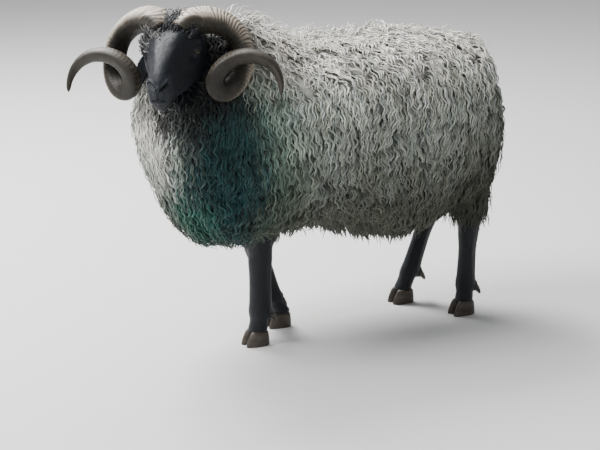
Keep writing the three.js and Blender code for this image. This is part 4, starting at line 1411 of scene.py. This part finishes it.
# ---------------------------------------------------------------- fleece
class RAM_OT_fleece(bpy.types.Operator):
    """Build the long crimped wool of the trunk, neck, thighs and tail"""

    bl_idname = "ram.fleece"
    bl_label = "Fleece"

    def execute(self, context):
        settings = context.scene.ram_fleece
        rng = np.random.default_rng(4)
        u, v = sown(fleece_at, settings.staples, rng, span=(0.0, 0.95))
        strands = grown_wool(fleece_at, u, v, settings, rng, strands=settings.strands, **LOCKS)
        order = np.argsort(-strands["outer"][:, 0])
        for name, own in zip(FLEECE_REGIONS, np.array_split(order, len(FLEECE_REGIONS))):
            put_wool(f"fleece_{name}", strands, ["neck" if name == "neck" else "trunk"], own)
        for name, count, end, kind in (("underwool", 1750, 0.96, UNDERWOOL), ("wisps", 900, 0.95, WISPS)):
            u, v = sown(fleece_at, count, rng, span=(0.0, end))
            put_wool(f"fleece_{name}", grown_wool(fleece_at, u, v, settings, rng, **kind), ["trunk", "neck"])
        for name, count, test, kind in (("mane", 9000, on_nape, MANE), ("collar", 16000, at_throat, COLLAR)):
            u, v = chosen(test, *sown(fleece_at, count, rng))
            put_wool(f"fleece_{name}", grown_wool(fleece_at, u, v, settings, rng, **kind), ["neck"])
        for word in SIDES:
            self.grow_thigh(word, settings, rng)
        u, v = sown(tail_at, 70, rng, span=(0.05, 0.9))
        put_wool("fleece_tail", grown_wool(tail_at, u, v, settings, rng, **TAIL_WOOL), ["tail"])
        return {"FINISHED"}

    def grow_thigh(self, word, settings, rng):
        """Short curly wool on a thigh, from under the fleece down to the hock"""
        leg = f"hind_{word}"
        form = leg_form(leg, 2)
        height = form[..., 2]
        root, normal, uv = rooted(form, ease(height, 292, 312) * (height < 400), 480, rng)
        down = np.array([[0.1, 0, -1.0]]) + 0 * root
        colour = 0.8 * fleece_colour(root, settings) * rng.uniform(0.7, 1.2, (len(root), 1))
        name = f"fleece_thigh_{word}"
        uv = charted(uv, LEG_CHARTS[leg])
        mesh = tufts(name, root, normal, down, rng, colour=colour, uv=uv, **THIGH_WOOL)
        show(name, mesh, wool_material(), [f"leg_{leg}"])


# ---------------------------------------------------------------- short hair
def grizzled(across, pale, both_sides, settings, rng):
    """Black tufts with a share of pale ones, on both sides of the head or on the right alone."""
    count = len(across)
    share = np.clip((rng.uniform(0, 1, (count, 1)) - 1 + pale) / max(pale, 1e-6), 0, 1)
    # Kept to the right side, the pale tufts are partly real grey hair and partly a painted highlight.
    share = share * (1 if both_sides else 0.1 + 0.9 * ease(-across, -16, 24)[:, None])
    black = np.array(settings.hair_colour) * rng.uniform(0.6, 1.8, (count, 1))
    return blended(black, np.array(settings.grey_colour), share)


def parted(root, ahead, outward, up, parting):
    """Lie of hair that parts along the middle of the head, at once or over a reach."""
    y = root[:, 1]
    side = outward * y / parting if parting else outward * np.sign(y)
    return np.stack([ahead + 0 * y, side, up + 0 * y], -1)


class RAM_OT_hair(bpy.types.Operator):
    """Build the short hair of the head, ears and legs, and the curls of the poll"""

    bl_idname = "ram.hair"
    bl_label = "Short hair"

    def execute(self, context):
        self.settings = context.scene.ram_head
        self.rng = np.random.default_rng(9)
        self.cover_head()
        for word, side in SIDES.items():
            ear = ear_form(side)
            tip = unit(ear[-1].mean(0) - ear[0].mean(0))
            even = np.ones(ear.shape[:2])
            name, lie = f"ear_{word}", tip * (1, side, 1)
            self.put_on_head(f"hair_{name}", ear, even, 900, EAR_CHART, [name], lie, **EAR_HAIR)
        for leg in LEGS:
            self.cover_leg(leg)
        return {"FINISHED"}

    def cover_head(self):
        """Short hair on the face, and longer tufts on forehead, crest, poll and throat"""
        head = head_form(self.settings)
        left = mirrored(head)
        x, y, z = left[..., 0], left[..., 1], left[..., 2]
        across = head[..., 1]
        opening = np.linalg.norm((left - EYE_AT - (0, 14, 0)) / (20, 12, 12), axis=-1)
        lips = np.minimum.reduce([near_line(left, CREASES[name][0]) for name in ("mouth", "nostril")])
        face = ease(opening, 0.9, 1.15) * ease(lips, 3, 6) * (x < 168) * (x > -115)
        brow = ease(x, 34, 8) * ease(z, 40, 56)
        right_brow = ease(x, 62, 30) * ease(across, -6, -22) * ease(z, 4, 20) * (across < 0)
        forehead = (brow + right_brow) * (x > -75)
        crest = ease(x, 26, 16) * ease(x, -36, -24) * ease(y, 66, 52) * (z > 46)
        poll = ease(x, -18, -40) * ease(x, -118, -100) * ease(y, 46, 30) * (z > 40)
        throat = ease(x, 30, -10) * ease(z, -60, -80)
        for name, where, count, nodes, kind in (
            ("hair_face", face, 3700, ["head", "muzzle", "lower_jaw"], FACE_HAIR),
            ("hair_forehead", forehead, 1300, ["head"], FOREHEAD_HAIR),
            ("hair_crest", crest, 420, ["head"], CREST_HAIR),
            ("hair_poll", poll, 640, ["head"], POLL_HAIR),
            ("hair_throat", throat, 700, ["lower_jaw", "head"], THROAT_HAIR),
        ):
            self.put_on_head(name, head, where, count, HEAD_CHART, nodes, **kind)

    def put_on_head(
        self, name, form, where, count, chart, nodes, lie, parting=0, pale=0.0, both_sides=False, **shape
    ):
        """One piece of hair on a form in the head's frame"""
        root, normal, uv = rooted(form, where, count, self.rng)
        flow = parted(root, *lie, parting)
        colour = grizzled(root[:, 1], pale, both_sides, self.settings, self.rng)
        at, out = from_head(root), normal @ HEAD_TURN.T
        shape |= {"uv": charted(uv, chart), "colour": colour}
        mesh = tufts(name, at, out, flow @ HEAD_TURN.T, self.rng, **shape)
        show(name, mesh, hair_material(), nodes)

    def cover_leg(self, leg):
        """Short hair on a leg from the hoof to the fleece"""
        form = leg_form(leg, self.settings.face_hair * 1000)
        height = form[..., 2]
        root, normal, uv = rooted(form, (height < 330) * (height > 36), 850, self.rng)
        down = np.array([[0, 0, -1.0]]) + 0 * root
        colour = grizzled(root[:, 1], 0.0, True, self.settings, self.rng)
        shape = LEG_HAIR | {"uv": charted(uv, LEG_CHARTS[leg]), "colour": colour}
        mesh = tufts(f"hair_leg_{leg}", root, normal, down, self.rng, **shape)
        show(f"hair_leg_{leg}", mesh, hair_material(), [f"leg_{leg}"])


# ---------------------------------------------------------------- horns, eyes and hooves
def horn_colour(points, ridge, wander, t, angle, settings):
    """Horn colours: pale where worn, dark in grooves, other faces and tip, and painted shadow in the coil.
    """
    pale, dark = np.array(settings.pale_colour), np.array(settings.dark_colour)
    worn = ease(ridge + 0.2 * wander, 0.05, 0.75)[..., None]
    face = ease(np.cos(angle + 0.12), 0.3, 0.85)[None, :, None]
    keel = (horn_keel(angle)[None] * (0.5 + 0.5 * wander))[..., None]
    smooth = ease(t, 0.43, 0.56)[:, None, None]
    past_root = ease(t, 0.18, 0.32)[:, None, None]
    # Painted shadow: the inner and front faces are darker along the coil, between the root and the smooth
    # end.
    under = dark * (1 - 0.5 * past_root * (1 - smooth)) * (1 - 0.2 * smooth)
    under = under + (pale - under) * 0.3 * np.clip(keel, 0, 1) * ease(0.62 - t, 0, 0.2)[:, None, None]
    bright = (0.04 + 0.96 * face) * (1 - (0.55 + 0.27 * face) * (1 - worn)) * (1 - 0.75 * smooth)
    colour = under + (pale - under) * bright
    streak = (1 + 0.2 * noise(points, 9, 4) + 0.15 * noise(points, 30, 6))[..., None]
    return blended(colour, np.array(settings.tip_colour), ease(t, 0.6, 0.92)[:, None, None]) * streak


class RAM_OT_horns(bpy.types.Operator):
    """Build the two ridged, coiled horns"""

    bl_idname = "ram.horns"
    bl_label = "Horns"

    def execute(self, context):
        settings = context.scene.ram_horns
        material = coloured("horn sheath", 0.5, 0.28)
        for word, side in SIDES.items():
            points, *growth = horn_form(side, settings)
            mesh = tube(f"horn_{word}", from_head(points))
            paint_tube(mesh, horn_colour(points, *growth, settings))
            nodes = [f"horn_{word}_{part}" for part in HORN_PARTS]
            show(f"horn_{word}", mesh, material, nodes)
        return {"FINISHED"}


def eye_ball(rings=80, around=96):
    """Points of an eye before it is turned, a little fuller in front, with the angles of its rings."""
    polar = np.linspace(0, np.pi, rings)
    turn = np.linspace(0, 2 * np.pi, around, endpoint=False)
    radius = EYE_RADIUS - 0.1 + 0.9 * np.exp(-((polar / 0.62) ** 4))
    across = np.sin(polar)[:, None]
    ball = np.stack([across * np.cos(turn), across * np.sin(turn), np.cos(polar)[:, None] + 0 * turn], -1)
    return ball * radius[:, None, None], turn


def eye_colour(local, turn, iris):
    """Colours of an eye: a streaked iris with painted shade, its dark edge and the level slit of the pupil.
    """
    x, y = local[..., 0], local[..., 1]
    from_middle = np.hypot(x, y)
    streaks = 1 + 0.35 * noise(np.stack([turn[None] * 9 + 0 * x, from_middle / 4, 0 * x], -1), 1, 2)
    colour = blended(iris * streaks[..., None], EYE_RIM_COLOUR, ease(from_middle, *IRIS_EDGE)[..., None])
    long, high = PUPIL
    slit = ease(1.15 - np.hypot(x / long, y / high) ** 1.6, 0, 0.3)[..., None]
    return blended(colour, PUPIL_COLOUR, slit * (local[..., 2:] > 0))


class RAM_OT_eyes(bpy.types.Operator):
    """Build the two eyes, each with a level slit pupil"""

    bl_idname = "ram.eyes"
    bl_label = "Eyes"

    def execute(self, context):
        # The iris colour is the eye's amber darkened as painted shade.
        iris = np.array(context.scene.ram_head.shaded_iris_colour)
        material = coloured("wet eye", 0.09, 0.27)
        local, turn = eye_ball()
        for word, side in SIDES.items():
            along, up, out = eye_axes(side)
            points = local[..., :1] * along + local[..., 1:2] * up + local[..., 2:] * out
            mesh = tube(f"eye_{word}", from_head(points + EYE_AT * (1, side, 1)))
            paint_tube(mesh, eye_colour(local, turn, iris))
            show(f"eye_{word}", mesh, material, [f"eye_{word}"])
        return {"FINISHED"}


class RAM_OT_hooves(bpy.types.Operator):
    """Build the claws and dewclaws of the four feet"""

    bl_idname = "ram.hooves"
    bl_label = "Hooves"

    def execute(self, context):
        material = coloured("hoof sheath", 0.5, 0.4)
        for leg in LEGS:
            outward = -1 if leg.endswith("left") else 1
            for word, side in (("outer", outward), ("inner", -outward)):
                for kind, form in (("hoof", claw_form(leg, side)), ("dewclaw", dewclaw_form(leg, side))):
                    name = f"{kind}_{leg}_{word}"
                    mesh = tube(name, form)
                    bands = 0.5 + 0.5 * noise(read_points(mesh) * (0.25, 0.25, 1), 4, 12)
                    paint(mesh, HOOF_COLOUR * (0.6 + 0.9 * bands)[:, None])
                    show(name, mesh, material, [name])
        return {"FINISHED"}


# ---------------------------------------------------------------- stage
CAMERA_AT, CAMERA_AIM = Vector((-2.356, -4.264, 1.552)), Vector((-0.252, -0.442, 0.42))
CAMERA_LENS, CAMERA_SENSOR = 114, 36
LAMP_AIM = Vector((-0.1, 0, 0.5))
# Each lamp's place, its size and its share of the key light's power.
LAMPS = {
    "key": ((-2.9, 0.4, 3.9), 2.4, 1.0),
    "rim": ((-0.3, 3.0, 3.9), 2.2, 1.3),
    "fill": ((-2.6, -4.6, 2.2), 3.0, 0.1),
}
SKY_TOWARDS, SKY_WIDTH = Vector((-0.1, -0.45, -1)), math.radians(70)
WORLD_COLOUR, WORLD_STRENGTH = (0.93, 0.95, 1, 1), 0.33
FLOOR_REACH = 40


def placed(name, data, direction, at=(0, 0, 0)):
    """Adds a lamp or camera that looks along a direction."""
    thing = bpy.data.objects.new(name, data)
    bpy.context.scene.collection.objects.link(thing)
    thing.location = at
    thing.rotation_euler = direction.to_track_quat("-Z", "Y").to_euler()
    return thing


class RAM_OT_stage(bpy.types.Operator):
    """Set the pale floor, the soft lights and the camera"""

    bl_idname = "ram.stage"
    bl_label = "Stage"

    def execute(self, context):
        settings = context.scene.ram_stage
        self.lay_floor(context, settings)
        world = bpy.data.worlds.new("studio")
        context.scene.world = world
        world.use_nodes = True
        background = world.node_tree.nodes["Background"]
        background.inputs["Color"].default_value = WORLD_COLOUR
        background.inputs["Strength"].default_value = WORLD_STRENGTH
        for name, (at, size, share) in LAMPS.items():
            data = bpy.data.lights.new(name, "AREA")
            data.size = size
            data.energy = settings.key_power * share
            placed(name, data, LAMP_AIM - Vector(at), at)
        data = bpy.data.lights.new("sky", "SUN")
        data.energy = settings.sky_strength
        data.angle = SKY_WIDTH
        placed("sky", data, SKY_TOWARDS)
        data = bpy.data.cameras.new("camera")
        data.lens = CAMERA_LENS
        data.sensor_width = CAMERA_SENSOR
        context.scene.camera = placed("camera", data, CAMERA_AIM - CAMERA_AT, CAMERA_AT)
        return {"FINISHED"}

    def lay_floor(self, context, settings):
        """A pale floor, far wider than the view"""
        mesh = bpy.data.meshes.new("floor")
        corners = [(x * FLOOR_REACH, y * FLOOR_REACH, 0) for x, y in ((-1, -1), (1, -1), (1, 1), (-1, 1))]
        mesh.from_pydata(corners, [], [(0, 1, 2, 3)])
        floor = bpy.data.objects.new("floor", mesh)
        context.scene.collection.objects.link(floor)
        look = bpy.data.materials.new("floor")
        look.use_nodes = True
        shader = look.node_tree.nodes["Principled BSDF"]
        shader.inputs["Base Color"].default_value = (*settings.floor_colour, 1)
        shader.inputs["Roughness"].default_value = 0.9
        mesh.materials.append(look)


# ---------------------------------------------------------------- panel and registration
class RAM_PT_build(bpy.types.Panel):
    """The settings and the operators that build the ram"""

    bl_label = "Ram"
    bl_idname = "RAM_PT_build"
    bl_space_type = "VIEW_3D"
    bl_region_type = "UI"
    bl_category = "Ram"

    def draw(self, context):
        for name, kind in SETTINGS.items():
            box = self.layout.box()
            for value in kind.__annotations__:
                box.prop(getattr(context.scene, name), value)
        for operator in PIECES:
            self.layout.operator(operator.bl_idname)


PIECES = (RAM_OT_skin, RAM_OT_fleece, RAM_OT_hair, RAM_OT_horns, RAM_OT_eyes, RAM_OT_hooves, RAM_OT_stage)
SETTINGS = {
    "ram_fleece": FleeceSettings,
    "ram_head": HeadSettings,
    "ram_horns": HornSettings,
    "ram_stage": StageSettings,
}


def register():
    for kind in (*SETTINGS.values(), *PIECES, RAM_PT_build):
        bpy.utils.register_class(kind)
    for name, kind in SETTINGS.items():
        setattr(bpy.types.Scene, name, PointerProperty(type=kind))


def unregister():
    for name in SETTINGS:
        delattr(bpy.types.Scene, name)
    for kind in (RAM_PT_build, *reversed(PIECES), *reversed(SETTINGS.values())):
        bpy.utils.unregister_class(kind)


def main():
    register()
    for operator in PIECES:
        group, name = operator.bl_idname.split(".")
        getattr(getattr(bpy.ops, group), name)()


if __name__ == "__main__":
    main()
